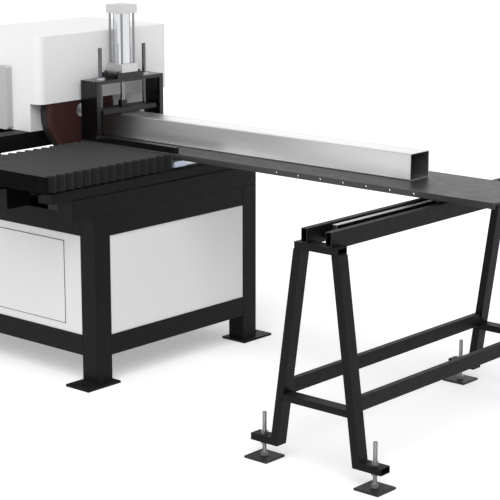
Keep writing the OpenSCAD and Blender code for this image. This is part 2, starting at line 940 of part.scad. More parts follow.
module pulley(d, bore) {
    difference() {
        union() {
            translate([-pulley_w / 2, 0, 0]) rod_x(d, pulley_w);
            for (x = [-pulley_w / 2, pulley_w / 2 - rim_t]) {
                translate([x, 0, 0]) rod_x(d + belt_t * 2, rim_t);
            }
        }
        translate([-pulley_w / 2 - cut, 0, 0]) rod_x(bore + fit_gap * 2, pulley_w + cut * 2);
    }
}

module spindle_pulley() {
    color("#6f7378")
    on_spindle(pulley_x) pulley(spindle_pulley_d, spindle_d);
}

module motor_pulley() {
    color("#6f7378")
    translate([pulley_x, motor_y, motor_z]) pulley(motor_pulley_d, motor_shaft_d);
}

// Points along an arc from one angle to another
function arc(centre, r, a0, a1) = [
    for (i = [0:belt_steps]) let (a = a0 + (a1 - a0) * i / belt_steps) centre + [r * cos(a), r * sin(a)]
];

// The closed loop round two circles, with its straight runs along their tangents
module belt_outline(r1, r2) {
    dx = motor_y - spindle_y;
    dy = motor_z - spindle_z;
    along = atan2(dy, dx);
    off = acos((r1 - r2) / norm([dx, dy]));
    polygon(concat(
        arc([0, 0], r1, along + off, along + full_turn - off),
        arc([dx, dy], r2, along - off, along + off)
    ));
}

module drive_belt() {
    r1 = spindle_pulley_d / 2 + run_gap;
    r2 = motor_pulley_d / 2 + run_gap;
    color("#1a1a1b")
    translate([pulley_x - belt_w / 2, spindle_y, spindle_z])
    rotate([90, 0, 90])
    difference() {
        linear_extrude(belt_w) belt_outline(r1 + belt_t, r2 + belt_t);
        translate([0, 0, -cut]) linear_extrude(belt_w + cut * 2) belt_outline(r1, r2);
    }
}

module bearing_housings() {
    color("#4d5a66")
    for (x = bearing_xs) {
        difference() {
            union() {
                on_spindle(x - housing_t / 2) rod_x(housing_w, housing_t);
                translate([x - housing_t / 2, spindle_y - housing_w / 2, plate_z])
                    cube([housing_t, housing_w, spindle_rise]);
            }
            on_spindle(x - housing_t / 2 - cut) rod_x(bearing_d + fit_gap * 2, housing_t + cut * 2);
        }
    }
}

module spindle_bearings() {
    color("#c2c5c9")
    for (x = bearing_xs) {
        on_spindle(x - bearing_w / 2)
        difference() {
            rod_x(bearing_d, bearing_w);
            translate([-cut, 0, 0]) rod_x(spindle_d + fit_gap * 2, bearing_w + cut * 2);
        }
    }
}

module motor_body() {
    color("#5a6a78")
    translate([motor_x0, motor_y, motor_z])
    difference() {
        rod_x(motor_d, motor_l);
        translate([-cut, 0, 0]) rod_x(motor_shaft_d + fit_gap * 2, motor_l / 2 + cut);
    }
}

module motor_foot() {
    color("#5a6a78")
    translate([motor_x0, motor_y, plate_z])
    difference() {
        translate([motor_l / 4, -motor_foot_w / 2, 0]) cube([motor_l / 2, motor_foot_w, motor_shaft_h]);
        translate([0, 0, motor_shaft_h]) rod_x(motor_d + fit_gap * 2, motor_l);
    }
}

module motor_shaft() {
    color("#9fa3a8")
    translate([pulley_x - pulley_w / 2, motor_y, motor_z])
        rod_x(motor_shaft_d, motor_x0 - pulley_x + pulley_w / 2 + motor_l / 2);
}

// Bridge and hood
module bridge_beams() {
    color("#1e1f21")
    for (x = bridge_xs) {
        translate([x - bridge_w / 2, -back_y, bridge_z]) tube_y(bridge_w, base_w, bridge_t, post_wall);
    }
}

module bridge_posts() {
    color("#232426")
    for (x = bridge_xs, y = [-back_y, back_y - bridge_post_t]) {
        translate([x - bridge_w / 2, y, frame_h]) tube_z(bridge_w, bridge_post_t, bridge_z - frame_h, post_wall);
    }
}

module spindle_plate() {
    x0 = bridge_xs[1] - bridge_w / 2;
    x1 = guard_x - hood_t * 2;
    y1 = motor_y + motor_d / 2 + plate_edge;
    color("#2c2e31")
    translate([x0, hood_y0 + hood_t + plate_edge, bridge_h])
        cube([x1 - x0, y1 - hood_y0 - hood_t - plate_edge, spindle_plate_t]);
}

module hood_shell() {
    color("#eceded")
    difference() {
        translate([hood_x0, hood_y0, bridge_h]) round_plate(hood_l, hood_w, hood_h, hood_r);
        translate([hood_x0 + hood_t, hood_y0 + hood_t, bridge_h - cut])
            round_plate(hood_l - hood_t * 2, hood_w - hood_t * 2,
                hood_h - hood_t + cut, hood_r - hood_t);
        translate([guard_x + cut_r, hood_y0 - cut, bridge_h - cut])
            cube([hood_x1 - guard_x, hood_w + cut * 2, cut_out_h + cut]);
        translate([guard_x, hood_y0 - cut, bridge_h - cut])
            cube([cut_r * 2, hood_w + cut * 2, cut_out_h - cut_r + cut]);
        translate([guard_x + cut_r, hood_y0 - cut, hood_edge - cut_r]) rod_y(cut_r * 2, hood_w + cut * 2);
    }
}

module disc_guard() {
    color("#b4b6b8")
    difference() {
        translate([guard_x - hood_t, hood_y0 + hood_t + run_gap, bridge_h])
            cube([hood_t, hood_w - (hood_t + run_gap) * 2, cut_out_h + plate_edge]);
        on_spindle(guard_x - hood_t - cut) rod_x(spindle_d + plate_edge, hood_t + cut * 2);
    }
}

module control_box() {
    color("#a7a9ac")
    translate([hood_x0 + plate_edge, hood_y0, bridge_h + hood_t])
    rotate([90, 0, 0]) round_plate(box_l, box_h, box_w, box_r);
}

// Trestle
module leg_section(half_t) {
    polygon([
        [leg_at(bracket_z) - half_t, bracket_z], [leg_at(bracket_z) - leg_t + half_t, bracket_z],
        [leg_at(crossbar_z) - leg_t + half_t, crossbar_z], [leg_at(crossbar_z) - half_t, crossbar_z]
    ]);
}

module trestle_leg() {
    translate([0, rhs_w / 2, 0]) rotate([90, 0, 0]) linear_extrude(rhs_w) leg_section(0);
    bracket_in = leg_at(bracket_z + rhs_t) - leg_t / 2;
    difference() {
        translate([bracket_in, -rhs_w / 2, bracket_z])
            cube([bracket_span / 2 - bracket_in, rhs_w, rhs_t]);
        translate([leg_at(bracket_z), -rhs_w / 2 + rhs_wall, bracket_z + rhs_wall])
            cube([bracket_span / 2, rhs_w - rhs_wall * 2, rhs_t - rhs_wall * 2]);
        translate([screw_span / 2, 0, bracket_z - cut]) cylinder(d = screw_d + fit_gap * 2, h = rhs_t + cut * 2);
    }
}

module at_end_frames() {
    for (s = [-1, 1]) {
        translate([mid_x, mid_y + s * trestle_l / 2, 0]) children();
    }
}

module trestle_legs() {
    color("#1f2022")
    at_end_frames() {
        trestle_leg();
        mirror([1, 0, 0]) trestle_leg();
    }
}

module trestle_crossbars() {
    z0 = tie_z - rhs_t;
    z1 = tie_z;
    color("#1f2022")
    at_end_frames() {
        translate([-crossbar_l / 2, -rhs_w / 2, crossbar_z]) tube_x(crossbar_l, rhs_w, rhs_t, rhs_wall);
        translate([0, rhs_w / 2, 0]) rotate([90, 0, 0]) linear_extrude(rhs_w)
            polygon([
                [-leg_at(z0) + leg_t, z0], [leg_at(z0) - leg_t, z0],
                [leg_at(z1) - leg_t, z1], [-leg_at(z1) + leg_t, z1]
            ]);
    }
}

module trestle_stretchers() {
    long_l = trestle_l - rhs_w;
    at = leg_at(stretcher_z + rhs_w / 2) - leg_t / 2;
    color("#1f2022")
    for (x = [mid_x - at, mid_x + at]) {
        translate([x - rhs_t / 2, mid_y - long_l / 2, stretcher_z]) tube_y(rhs_t, long_l, rhs_w, rhs_wall);
    }
}

module trestle_beams() {
    color("#1f2022")
    for (x = [-beam_span / 2, beam_span / 2 - rhs_t]) {
        translate([mid_x + x, mid_y - beam_l / 2, crossbar_h]) tube_y(rhs_t, beam_l, rhs_w, rhs_wall);
        translate([mid_x + x, mid_y - trestle_l / 2 + rhs_w / 2, crossbar_h - flat_t])
            cube([rhs_t, trestle_l - rhs_w, flat_t]);
    }
}

module trestle_rail_bar() {
    inner = beam_span - rhs_t * 2;
    color("#1b1c1e")
    translate([mid_x, mid_y - trestle_rail_l / 2, crossbar_h]) {
        translate([-inner / 2, 0, 0]) cube([inner, trestle_rail_l, floor_t]);
        translate([-mid_bar_t / 2, 0, 0]) cube([mid_bar_t, trestle_rail_l, mid_bar_t]);
    }
}

module at_feet() {
    at_end_frames() {
        for (s = [-1, 1]) {
            translate([s * screw_span / 2, 0, 0]) children();
        }
    }
}

module levelling_screws() {
    color("#b5b8bc")
    at_feet() {
        translate([0, 0, foot_pad_t]) cylinder(d = screw_d, h = screw_top - foot_pad_t);
        translate([0, 0, foot_pad_t]) hex_nut(nut_af, screw_d + fit_gap * 2, nut_h);
        translate([0, 0, bracket_z - nut_h]) hex_nut(nut_af, screw_d + fit_gap * 2, nut_h);
        translate([0, 0, bracket_z + rhs_t]) hex_nut(nut_af, screw_d + fit_gap * 2, nut_h);
    }
}

module foot_pads() {
    color("#2b2c2e")
    at_feet() translate([-pad_w / 2, -pad_w / 2, 0]) cube([pad_w, pad_w, foot_pad_t]);
}

foot_plates();
base_legs();
base_rails();
front_panel();
access_cover();
side_panels();
bed_beams();
rail_beams();
linear_rails();
feed_tube();
feed_end_caps();
bellows_front();
bellows_rear();
bellows_end_plates();
bridge_beams();
bridge_posts();
spindle_plate();
hood_shell();
disc_guard();
control_box();
bearing_housings();
spindle_bearings();
motor_body();
motor_foot();
drive_belt();
spindle_shaft();
spindle_pulley();
backing_disc();
abrasive_disc();
hub_cap();
motor_shaft();
motor_pulley();
guide_blocks();
block_risers();
carriage_plate();
table_plate();
fence_bar();
feed_slider();
bellows_carriage_plates();
clamp_legs();
clamp_top_plate();
cylinder_mount();
clamp_cylinder_caps();
clamp_cylinder_barrel();
clamp_tie_rods();
guide_bushes();
clamp_screws();
clamp_rod();
rod_coupling();
guide_rods();
presser_plate();
presser_pad();
workpiece_tube();
trestle_legs();
trestle_crossbars();
trestle_stretchers();
trestle_beams();
trestle_rail_bar();
levelling_screws();
foot_pads();
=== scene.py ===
"""Dressed model of a tube end grinding and deburring machine with its trestle.

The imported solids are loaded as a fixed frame. Each sub-assembly class eases the edges of its
solids, adds the small parts that a maker would fit, and gives every surface its finish.
"""

from __future__ import annotations

import json
import logging
import math
from collections.abc import Iterable, Sequence
from dataclasses import dataclass, field
from enum import Enum

import bmesh
import bpy
from mathutils import Matrix, Vector

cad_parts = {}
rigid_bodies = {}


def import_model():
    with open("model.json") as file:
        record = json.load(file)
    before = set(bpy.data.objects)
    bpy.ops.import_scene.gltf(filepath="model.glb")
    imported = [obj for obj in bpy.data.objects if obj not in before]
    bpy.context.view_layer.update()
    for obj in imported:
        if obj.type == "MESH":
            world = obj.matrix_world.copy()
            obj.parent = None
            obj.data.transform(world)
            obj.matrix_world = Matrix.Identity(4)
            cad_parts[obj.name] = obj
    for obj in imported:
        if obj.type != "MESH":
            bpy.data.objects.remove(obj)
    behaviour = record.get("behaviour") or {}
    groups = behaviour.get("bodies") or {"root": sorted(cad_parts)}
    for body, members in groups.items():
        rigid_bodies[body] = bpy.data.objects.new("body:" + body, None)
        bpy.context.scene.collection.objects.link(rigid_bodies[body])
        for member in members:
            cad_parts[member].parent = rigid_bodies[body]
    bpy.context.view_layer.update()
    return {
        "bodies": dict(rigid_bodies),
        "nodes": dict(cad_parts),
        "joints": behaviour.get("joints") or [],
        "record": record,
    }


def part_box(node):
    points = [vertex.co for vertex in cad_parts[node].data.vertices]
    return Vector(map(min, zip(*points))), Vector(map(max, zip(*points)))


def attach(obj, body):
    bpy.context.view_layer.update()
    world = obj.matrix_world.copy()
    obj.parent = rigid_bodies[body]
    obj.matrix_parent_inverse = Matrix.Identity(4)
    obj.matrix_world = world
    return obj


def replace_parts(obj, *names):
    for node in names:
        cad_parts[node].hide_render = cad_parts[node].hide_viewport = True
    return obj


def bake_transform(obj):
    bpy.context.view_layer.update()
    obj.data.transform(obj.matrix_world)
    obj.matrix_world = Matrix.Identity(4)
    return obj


LOG = logging.getLogger("machine")
TURN = 2.0 * math.pi
SIGNS = (-1.0, 1.0)
WHITE = (1.0, 1.0, 1.0, 1.0)
GREY = (0.5, 0.5, 0.5, 1.0)

Point = tuple[float, float, float]
Colour = tuple[float, float, float]
Span = tuple[float, float]
Profile = tuple[Span, ...]
Socket = bpy.types.NodeSocket
Vertex = bmesh.types.BMVert


class Body(str, Enum):
    """The moving groups of the machine, by their names in the frame."""

    BASE = "base"
    CARRIAGE = "carriage"
    CLAMP = "clamp"
    SPINDLE = "spindle"


class Axis(Enum):
    """The directions that turned parts and screws stand in, as unit vectors."""

    Y = (0.0, 1.0, 0.0)
    Z = (0.0, 0.0, 1.0)
    MINUS_X = (-1.0, 0.0, 0.0)
    MINUS_Y = (0.0, -1.0, 0.0)

    def turned(self) -> Matrix:
        """A matrix that turns +Z to this direction."""
        return Vector(self.value).to_track_quat("Z", "Y").to_matrix().to_4x4()


def angles(count: int) -> list[float]:
    """Even steps round a circle, in radians."""
    return [TURN * k / count for k in range(count)]


def spaced(start: float, end: float, count: int) -> list[float]:
    """Even steps from one place to another, with both ends."""
    return [start + (end - start) * k / (count - 1) for k in range(count)]


# ---- Shader building blocks


class Tree:
    """A thin wrapper that adds nodes to a node tree and links them."""

    def __init__(self, tree: bpy.types.NodeTree) -> None:
        """Keeps the tree that nodes are added to."""
        self.tree = tree

    def node(self, kind: str, **values: object) -> bpy.types.Node:
        """Adds a node.

        Args:
            kind: The node's Blender type name.
            values: Input sockets by name with spaces as underscores, or node properties.

        Returns:
            The new node.
        """
        made = self.tree.nodes.new(kind)
        for key, value in values.items():
            socket = made.inputs.get(key.replace("_", " "))
            if socket is not None:
                socket.default_value = value
            else:
                setattr(made, key, value)
        return made

    def link(self, start: Socket, end: Socket) -> None:
        """Links an output to an input."""
        self.tree.links.new(start, end)

    def feed(self, value: object, end: Socket) -> None:
        """Gives an input its value.

        Args:
            value: A socket to link, or a number, vector or colour.
            end: The input's socket.
        """
        if isinstance(value, bpy.types.NodeSocket):
            self.link(value, end)
        elif end.type == "RGBA":
            end.default_value = (*value, 1.0)
        else:
            end.default_value = value

    def place(self) -> Socket:
        """The point on the surface, in the piece's own metres."""
        return self.node("ShaderNodeTexCoord").outputs["Object"]

    def noise(self, **values: object) -> bpy.types.Node:
        """Adds a noise texture that stays with the piece.

        Args:
            values: Its inputs by name with spaces as underscores.

        Returns:
            The texture's node.
        """
        made = self.node("ShaderNodeTexNoise", **values)
        self.link(self.place(), made.inputs["Vector"])
        return made

    def split(self, vector: Socket) -> bpy.types.NodeOutputs:
        """Splits a vector into its three numbers.

        Args:
            vector: The vector's socket.

        Returns:
            The outputs X, Y and Z.
        """
        made = self.node("ShaderNodeSeparateXYZ")
        self.link(vector, made.inputs[0])
        return made.outputs

    def maths(self, operation: str, first: object, second: object = 0.0) -> Socket:
        """Adds a Math node.

        Args:
            operation: The node's operation.
            first: A socket or a number.
            second: A socket or a number.

        Returns:
            The result's socket.
        """
        made = self.node("ShaderNodeMath", operation=operation)
        self.feed(first, made.inputs[0])
        self.feed(second, made.inputs[1])
        return made.outputs[0]

    def product(self, first: object, second: object, third: object) -> Socket:
        """Multiplies three sockets or numbers."""
        return self.maths("MULTIPLY", self.maths("MULTIPLY", first, second), third)

    def remap(self, value: Socket, source: Span, target: Span = (0.0, 1.0)) -> Socket:
        """Maps a number from one range to another and holds it there.

        Args:
            value: The number's socket.
            source: The range that it comes from.
            target: The range that it goes to.

        Returns:
            The mapped number's socket.
        """
        made = self.node(
            "ShaderNodeMapRange",
            From_Min=source[0],
            From_Max=source[1],
            To_Min=target[0],
            To_Max=target[1],
        )
        self.link(value, made.inputs[0])
        return made.outputs[0]

    def mix(self, share: Socket, low: object, high: object) -> Socket:
        """Mixes two colours.

        Args:
            share: The mask that brings in the second colour.
            low: The first colour, or its socket.
            high: The second colour, or its socket.

        Returns:
            The mixed colour's socket.
        """
        made = self.node("ShaderNodeMix", data_type="RGBA")
        first, second = [socket for socket in made.inputs if socket.type == "RGBA"]
        self.link(share, made.inputs[0])
        self.feed(low, first)
        self.feed(high, second)
        return next(socket for socket in made.outputs if socket.type == "RGBA")


class Effect(Enum):
    """The shared surface effects, each a shader node group."""

    GRAIN = "fine_grain"
    CLOUDS = "colour_clouds"
    WEAR = "edge_wear"
    DUST = "settled_dust"
    BRUSHING = "brushed_lines"
    WEAVE = "coated_weave"
    THREAD = "screw_thread"


class EffectLibrary:
    """Builds each shader node group once and places it in materials."""

    def __init__(self) -> None:
        """Builds all the groups."""
        self.groups: dict[Effect, bpy.types.NodeTree] = {}
        self._grain()
        self._clouds()
        self._wear()
        self._dust()
        self._brushing()
        self._weave()
        self._thread()

    def place(self, tree: Tree, effect: Effect, **values: object) -> bpy.types.NodeOutputs:
        """Places a group in a material.

        Args:
            tree: The material's tree.
            effect: Which effect.
            values: The group's inputs by name, each a number, a colour or a socket.

        Returns:
            The group's outputs.
        """
        made = tree.tree.nodes.new("ShaderNodeGroup")
        made.node_tree = self.groups[effect]
        for key, value in values.items():
            tree.feed(value, made.inputs[key.replace("_", " ")])
        return made.outputs

    def _start(
        self, effect: Effect, inputs: dict[str, object], outputs: Sequence[str]
    ) -> tuple[Tree, bpy.types.NodeOutputs, bpy.types.NodeInputs]:
        """Opens a group with its sockets.

        Args:
            effect: Which effect the group makes.
            inputs: Usual value of each input: a number, a vector, or a colour with its alpha.
            outputs: Name of each output; Colour is a colour and the others are numbers.

        Returns:
            The tree, what comes into it and what goes out of it.
        """
        group = bpy.data.node_groups.new(effect.value, "ShaderNodeTree")
        for name, value in inputs.items():
            kind = "NodeSocketFloat"
            if isinstance(value, tuple):
                is_colour = len(value) == len(WHITE)
                kind = "NodeSocketColor" if is_colour else "NodeSocketVector"
            socket = group.interface.new_socket(name, in_out="INPUT", socket_type=kind)
            socket.default_value = value
        for name in outputs:
            kind = "NodeSocketColor" if name == "Colour" else "NodeSocketFloat"
            group.interface.new_socket(name, in_out="OUTPUT", socket_type=kind)
        self.groups[effect] = group
        tree = Tree(group)
        return tree, tree.node("NodeGroupInput").outputs, tree.node("NodeGroupOutput").inputs

    def _grain(self) -> None:
        """Fine noise over the surface, as a height and a soft mask."""
        broad_share = 0.04
        tree, ins, outs = self._start(Effect.GRAIN, {"Scale": 400.0}, ("Height", "Mask"))
        fine = tree.noise(Detail=4.0, Roughness=0.6)
        broad = tree.noise(Detail=3.0)
        tree.link(ins["Scale"], fine.inputs["Scale"])
        tree.link(tree.maths("MULTIPLY", ins["Scale"], broad_share), broad.inputs["Scale"])
        tree.link(fine.outputs[0], outs["Height"])
        tree.link(broad.outputs[0], outs["Mask"])

    def _clouds(self) -> None:
        """Broad, faint changes in a colour, as paint and metal have."""
        middle = 0.5
        tree, ins, outs = self._start(
            Effect.CLOUDS, {"Colour": GREY, "Amount": 0.1, "Scale": 6.0}, ("Colour",)
        )
        noise = tree.noise(Detail=5.0, Roughness=0.55)
        tree.link(ins["Scale"], noise.inputs["Scale"])
        around_zero = tree.maths("SUBTRACT", noise.outputs[0], middle)
        swing = tree.maths("MULTIPLY", around_zero, ins["Amount"])
        shade = tree.node("ShaderNodeHueSaturation")
        tree.link(tree.maths("ADD", swing, 1.0), shade.inputs["Value"])
        tree.link(ins["Colour"], shade.inputs["Color"])
        tree.link(shade.outputs[0], outs["Colour"])

    def _wear(self) -> None:
        """Handled edges, where the finish is rubbed through in broken patches."""
        edge_gain, patches = 6.0, (0.45, 0.7)
        tree, ins, outs = self._start(
            Effect.WEAR,
            {
                "Colour": GREY,
                "Worn Colour": (0.6, 0.6, 0.6, 1.0),
                "Amount": 0.5,
                "Radius": 0.0015,
            },
            ("Colour",),
        )
        noise = tree.noise(Scale=55.0, Detail=6.0, Roughness=0.7)
        rounded = tree.node("ShaderNodeBevel", samples=4)
        face = tree.node("ShaderNodeNewGeometry")
        dot = tree.node("ShaderNodeVectorMath", operation="DOT_PRODUCT")
        tree.link(ins["Radius"], rounded.inputs["Radius"])
        tree.link(rounded.outputs[0], dot.inputs[0])
        tree.link(face.outputs["Normal"], dot.inputs[1])
        bent = tree.maths("SUBTRACT", 1.0, dot.outputs["Value"])
        edge = tree.maths("MULTIPLY", bent, edge_gain)
        patchy = tree.remap(noise.outputs[0], patches)
        held = tree.node("ShaderNodeClamp")
        tree.link(tree.product(edge, patchy, ins["Amount"]), held.inputs[0])
        tree.link(tree.mix(held.outputs[0], ins["Colour"], ins["Worn Colour"]), outs["Colour"])

    def _dust(self) -> None:
        """A faint film on faces that look up."""
        fall_off = 4.0
        tree, ins, outs = self._start(
            Effect.DUST,
            {"Colour": GREY, "Dust Colour": (0.3, 0.29, 0.27, 1.0), "Amount": 0.05},
            ("Colour",),
        )
        noise = tree.noise(Scale=14.0, Detail=8.0, Roughness=0.65)
        face = tree.split(tree.node("ShaderNodeNewGeometry").outputs["Normal"])
        upward = tree.maths("POWER", tree.maths("MAXIMUM", face["Z"], 0.0), fall_off)
        mask = tree.product(upward, noise.outputs[0], ins["Amount"])
        tree.link(tree.mix(mask, ins["Colour"], ins["Dust Colour"]), outs["Colour"])

    def _brushing(self) -> None:
        """Fine lines drawn out along one direction, as grinding or drawing leaves."""
        tree, ins, outs = self._start(
            Effect.BRUSHING, {"Stretch": (2.0, 400.0, 400.0)}, ("Height", "Streaks")
        )
        drawn = tree.node("ShaderNodeVectorMath", operation="MULTIPLY")
        fine = tree.node("ShaderNodeTexNoise", Scale=1.0, Detail=5.0, Roughness=0.65)
        wide = tree.node("ShaderNodeTexNoise", Scale=0.12, Detail=3.0)
        tree.link(tree.place(), drawn.inputs[0])
        tree.link(ins["Stretch"], drawn.inputs[1])
        for noise, name in ((fine, "Height"), (wide, "Streaks")):
            tree.link(drawn.outputs[0], noise.inputs["Vector"])
            tree.link(noise.outputs[0], outs[name])

    def _weave(self) -> None:
        """A coated fabric's fine crossed threads."""
        half = 0.5
        tree, ins, outs = self._start(Effect.WEAVE, {"Pitch": 0.002}, ("Height", "Mask"))
        place = tree.split(tree.place())
        turns = tree.maths("DIVIDE", TURN, ins["Pitch"])
        upright = tree.maths("ADD", place["Y"], place["Z"])
        warp = tree.maths("SINE", tree.maths("MULTIPLY", place["X"], turns))
        weft = tree.maths("SINE", tree.maths("MULTIPLY", upright, turns))
        tree.link(tree.maths("ADD", tree.product(warp, weft, half), half), outs["Height"])
        tree.link(tree.noise(Scale=9.0, Detail=5.0).outputs[0], outs["Mask"])

    def _thread(self) -> None:
        """The ridges of an upright screw, one to each pitch of its length, and the grooves between
        them as a mask for painted shade.
        """
        half = 0.5
        tree, ins, outs = self._start(Effect.THREAD, {"Pitch": 0.0025}, ("Height", "Groove Shade"))
        turns = tree.maths("DIVIDE", tree.split(tree.place())["Z"], ins["Pitch"])
        height = tree.maths("DIVIDE", tree.maths("PINGPONG", turns, half), half)
        tree.link(height, outs["Height"])
        tree.link(tree.maths("SUBTRACT", 1.0, height), outs["Groove Shade"])


@dataclass
class Job:
    """A material while it is being made.

    Attributes:
        tree: Its node tree.
        shader: Its surface shader.
        effects: The shared groups.
    """

    tree: Tree
    shader: bpy.types.Node
    effects: EffectLibrary

    def effect(self, effect: Effect, **values: object) -> bpy.types.NodeOutputs:
        """Places a shared group and gives its outputs."""
        return self.effects.place(self.tree, effect, **values)

    def set(self, name: str, value: float) -> None:
        """Sets one of the shader's plain values."""
        self.shader.inputs[name].default_value = value


# ---- Finishes

NOISE_SPAN = (0.3, 0.7)


@dataclass(frozen=True)
class Finish:
    """What every finish has: a colour, its roughness range and a fine grain.

    Attributes:
        slot: The finish's name, which is also its material's name.
        colour: Linear colour.
        rough: Roughness where the grain is lowest and highest.
        specular: How strongly the surface reflects straight on.
        clouds: How far the colour swings over the surface.
        grain: Grain cells over a metre.
        relief: Strength of the bump.
        depth: Depth of the bump in metres.
    """

    slot: str
    colour: Colour
    rough: Span = (0.4, 0.5)
    specular: float = 0.3
    clouds: float = 0.08
    grain: float = 500.0
    relief: float = 0.1
    depth: float = 0.0004

    def make(self, effects: EffectLibrary) -> bpy.types.Material:
        """Builds the material.

        Args:
            effects: The shared groups.

        Returns:
            The finished material.
        """
        made = bpy.data.materials.new(self.slot)
        made.use_nodes = True
        made.node_tree.nodes.clear()
        made.diffuse_color = (*self.colour, 1.0)
        tree = Tree(made.node_tree)
        shader = tree.node("ShaderNodeBsdfPrincipled")
        output = tree.node("ShaderNodeOutputMaterial")
        tree.link(shader.outputs[0], output.inputs[0])
        job = Job(tree, shader, effects)
        job.set("Specular IOR Level", self.specular)
        clouds = job.effect(Effect.CLOUDS, Colour=self.colour, Amount=self.clouds)
        tree.link(self.surface(job, clouds["Colour"]), shader.inputs["Base Color"])
        return made

    def surface(self, job: Job, colour: Socket) -> Socket:
        """Adds this finish's own grain, roughness and bump.

        Args:
            job: The material under way.
            colour: The colour so far.

        Returns:
            The colour with this finish's effects.
        """
        grain = job.effect(Effect.GRAIN, Scale=self.grain)
        self.spread(job, grain["Mask"])
        self.bump(job, grain["Height"])
        return colour

    def spread(self, job: Job, mask: Socket) -> None:
        """Spreads the roughness range over a mask.

        Args:
            job: The material under way.
            mask: Noise that picks the roughness.
        """
        rough = job.tree.remap(mask, NOISE_SPAN, self.rough)
        job.tree.link(rough, job.shader.inputs["Roughness"])

    def bump(self, job: Job, height: Socket) -> None:
        """Turns a height into the surface's relief.

        Args:
            job: The material under way.
            height: The relief's height, from 0 to 1.
        """
        relief = job.tree.node("ShaderNodeBump", Strength=self.relief, Distance=self.depth)
        job.tree.link(height, relief.inputs["Height"])
        job.tree.link(relief.outputs[0], job.shader.inputs["Normal"])


@dataclass(frozen=True)
class Paint(Finish):
    """Powder coat or enamel over steel, rubbed at its edges and a little dusty on top.

    Attributes:
        worn: Colour of the rubbed edges.
        wear: How much of them shows.
        dust: How much dust lies on top.
    """

    worn: Colour = (0.12, 0.12, 0.12)
    wear: float = 0.5
    dust: float = 0.05

    def surface(self, job: Job, colour: Socket) -> Socket:
        """Adds orange peel, worn edges and dust.

        Args:
            job: The material under way.
            colour: The colour so far.

        Returns:
            The colour with its wear and dust.
        """
        super().surface(job, colour)
        worn = job.effect(Effect.WEAR, Colour=colour, Worn_Colour=self.worn, Amount=self.wear)
        return job.effect(Effect.DUST, Colour=worn["Colour"], Amount=self.dust)["Colour"]


@dataclass(frozen=True)
class Metal(Finish):
    """Bare or plated metal with fine drawn or ground lines.

    Attributes:
        lines: Lines over a metre along X, Y and Z.
        bright: Colour of the rubbed edges.
        wear: How much of them shows.
        metallic: How metallic the surface is.
    """

    depth: float = 0.0001
    lines: Point = (3.0, 500.0, 500.0)
    bright: Colour = (0.85, 0.86, 0.88)
    wear: float = 0.5
    metallic: float = 1.0

    def surface(self, job: Job, colour: Socket) -> Socket:
        """Adds drawn lines and brighter edges.

        Args:
            job: The material under way.
            colour: The colour so far.

        Returns:
            The colour with its bright edges.
        """
        lines = self.drawn(job)
        self.bump(job, lines["Height"])
        worn = job.effect(Effect.WEAR, Colour=colour, Worn_Colour=self.bright, Amount=self.wear)
        return worn["Colour"]

    def drawn(self, job: Job) -> bpy.types.NodeOutputs:
        """Makes the shader metallic and spreads its roughness along the lines.

        Args:
            job: The material under way.

        Returns:
            The lines' height and streaks.
        """
        job.set("Metallic", self.metallic)
        lines = job.effect(Effect.BRUSHING, Stretch=self.lines)
        self.spread(job, lines["Streaks"])
        return lines


@dataclass(frozen=True)
class Threaded(Metal):
    """Plated screws and nuts whose upright thread shows, with painted shade in its grooves.

    Attributes:
        pitch: The thread's pitch.
        shade: How bright the painted shade in the grooves is beside the ridges.
        groove: How far the grooves take that painted shade.
    """

    depth: float = 0.0012
    pitch: float = 0.0025
    shade: float = 0.35
    groove: float = 0.6

    def surface(self, job: Job, colour: Socket) -> Socket:
        """Adds the thread's ridges, and painted shade that darkens its grooves.

        Args:
            job: The material under way.
            colour: The colour so far.

        Returns:
            The colour with painted shade in its grooves.
        """
        self.drawn(job)
        thread = job.effect(Effect.THREAD, Pitch=self.pitch)
        self.bump(job, thread["Height"])
        # Painted shade: the grooves are darkened as if light did not reach into them.
        dark = tuple(c * self.shade for c in self.colour)
        share = job.tree.maths("MULTIPLY", thread["Groove Shade"], self.groove)
        return job.tree.mix(share, colour, dark)


@dataclass(frozen=True)
class Cloth(Finish):
    """Coated fabric, woven under a dull skin and paler along its folds.

    Attributes:
        pitch: Distance between threads.
        fold: Colour of the scuffed folds.
        wear: How much of it shows.
        crease: How wide a fold's scuffed line is.
        dust: How much dust lies on top.
        sheen: How soft the cloth looks from the side.
    """

    depth: float = 0.0003
    pitch: float = 0.0022
    fold: Colour = (0.11, 0.11, 0.11)
    wear: float = 0.6
    crease: float = 0.002
    dust: float = 0.06
    sheen: float = 0.08

    def surface(self, job: Job, colour: Socket) -> Socket:
        """Adds the weave, scuffed folds and dust.

        Args:
            job: The material under way.
            colour: The colour so far.

        Returns:
            The colour with its scuffs and dust.
        """
        job.set("Sheen Weight", self.sheen)
        weave = job.effect(Effect.WEAVE, Pitch=self.pitch)
        self.spread(job, weave["Mask"])
        self.bump(job, weave["Height"])
        worn = job.effect(
            Effect.WEAR,
            Colour=colour,
            Worn_Colour=self.fold,
            Amount=self.wear,
            Radius=self.crease,
        )
        return job.effect(Effect.DUST, Colour=worn["Colour"], Amount=self.dust)["Colour"]


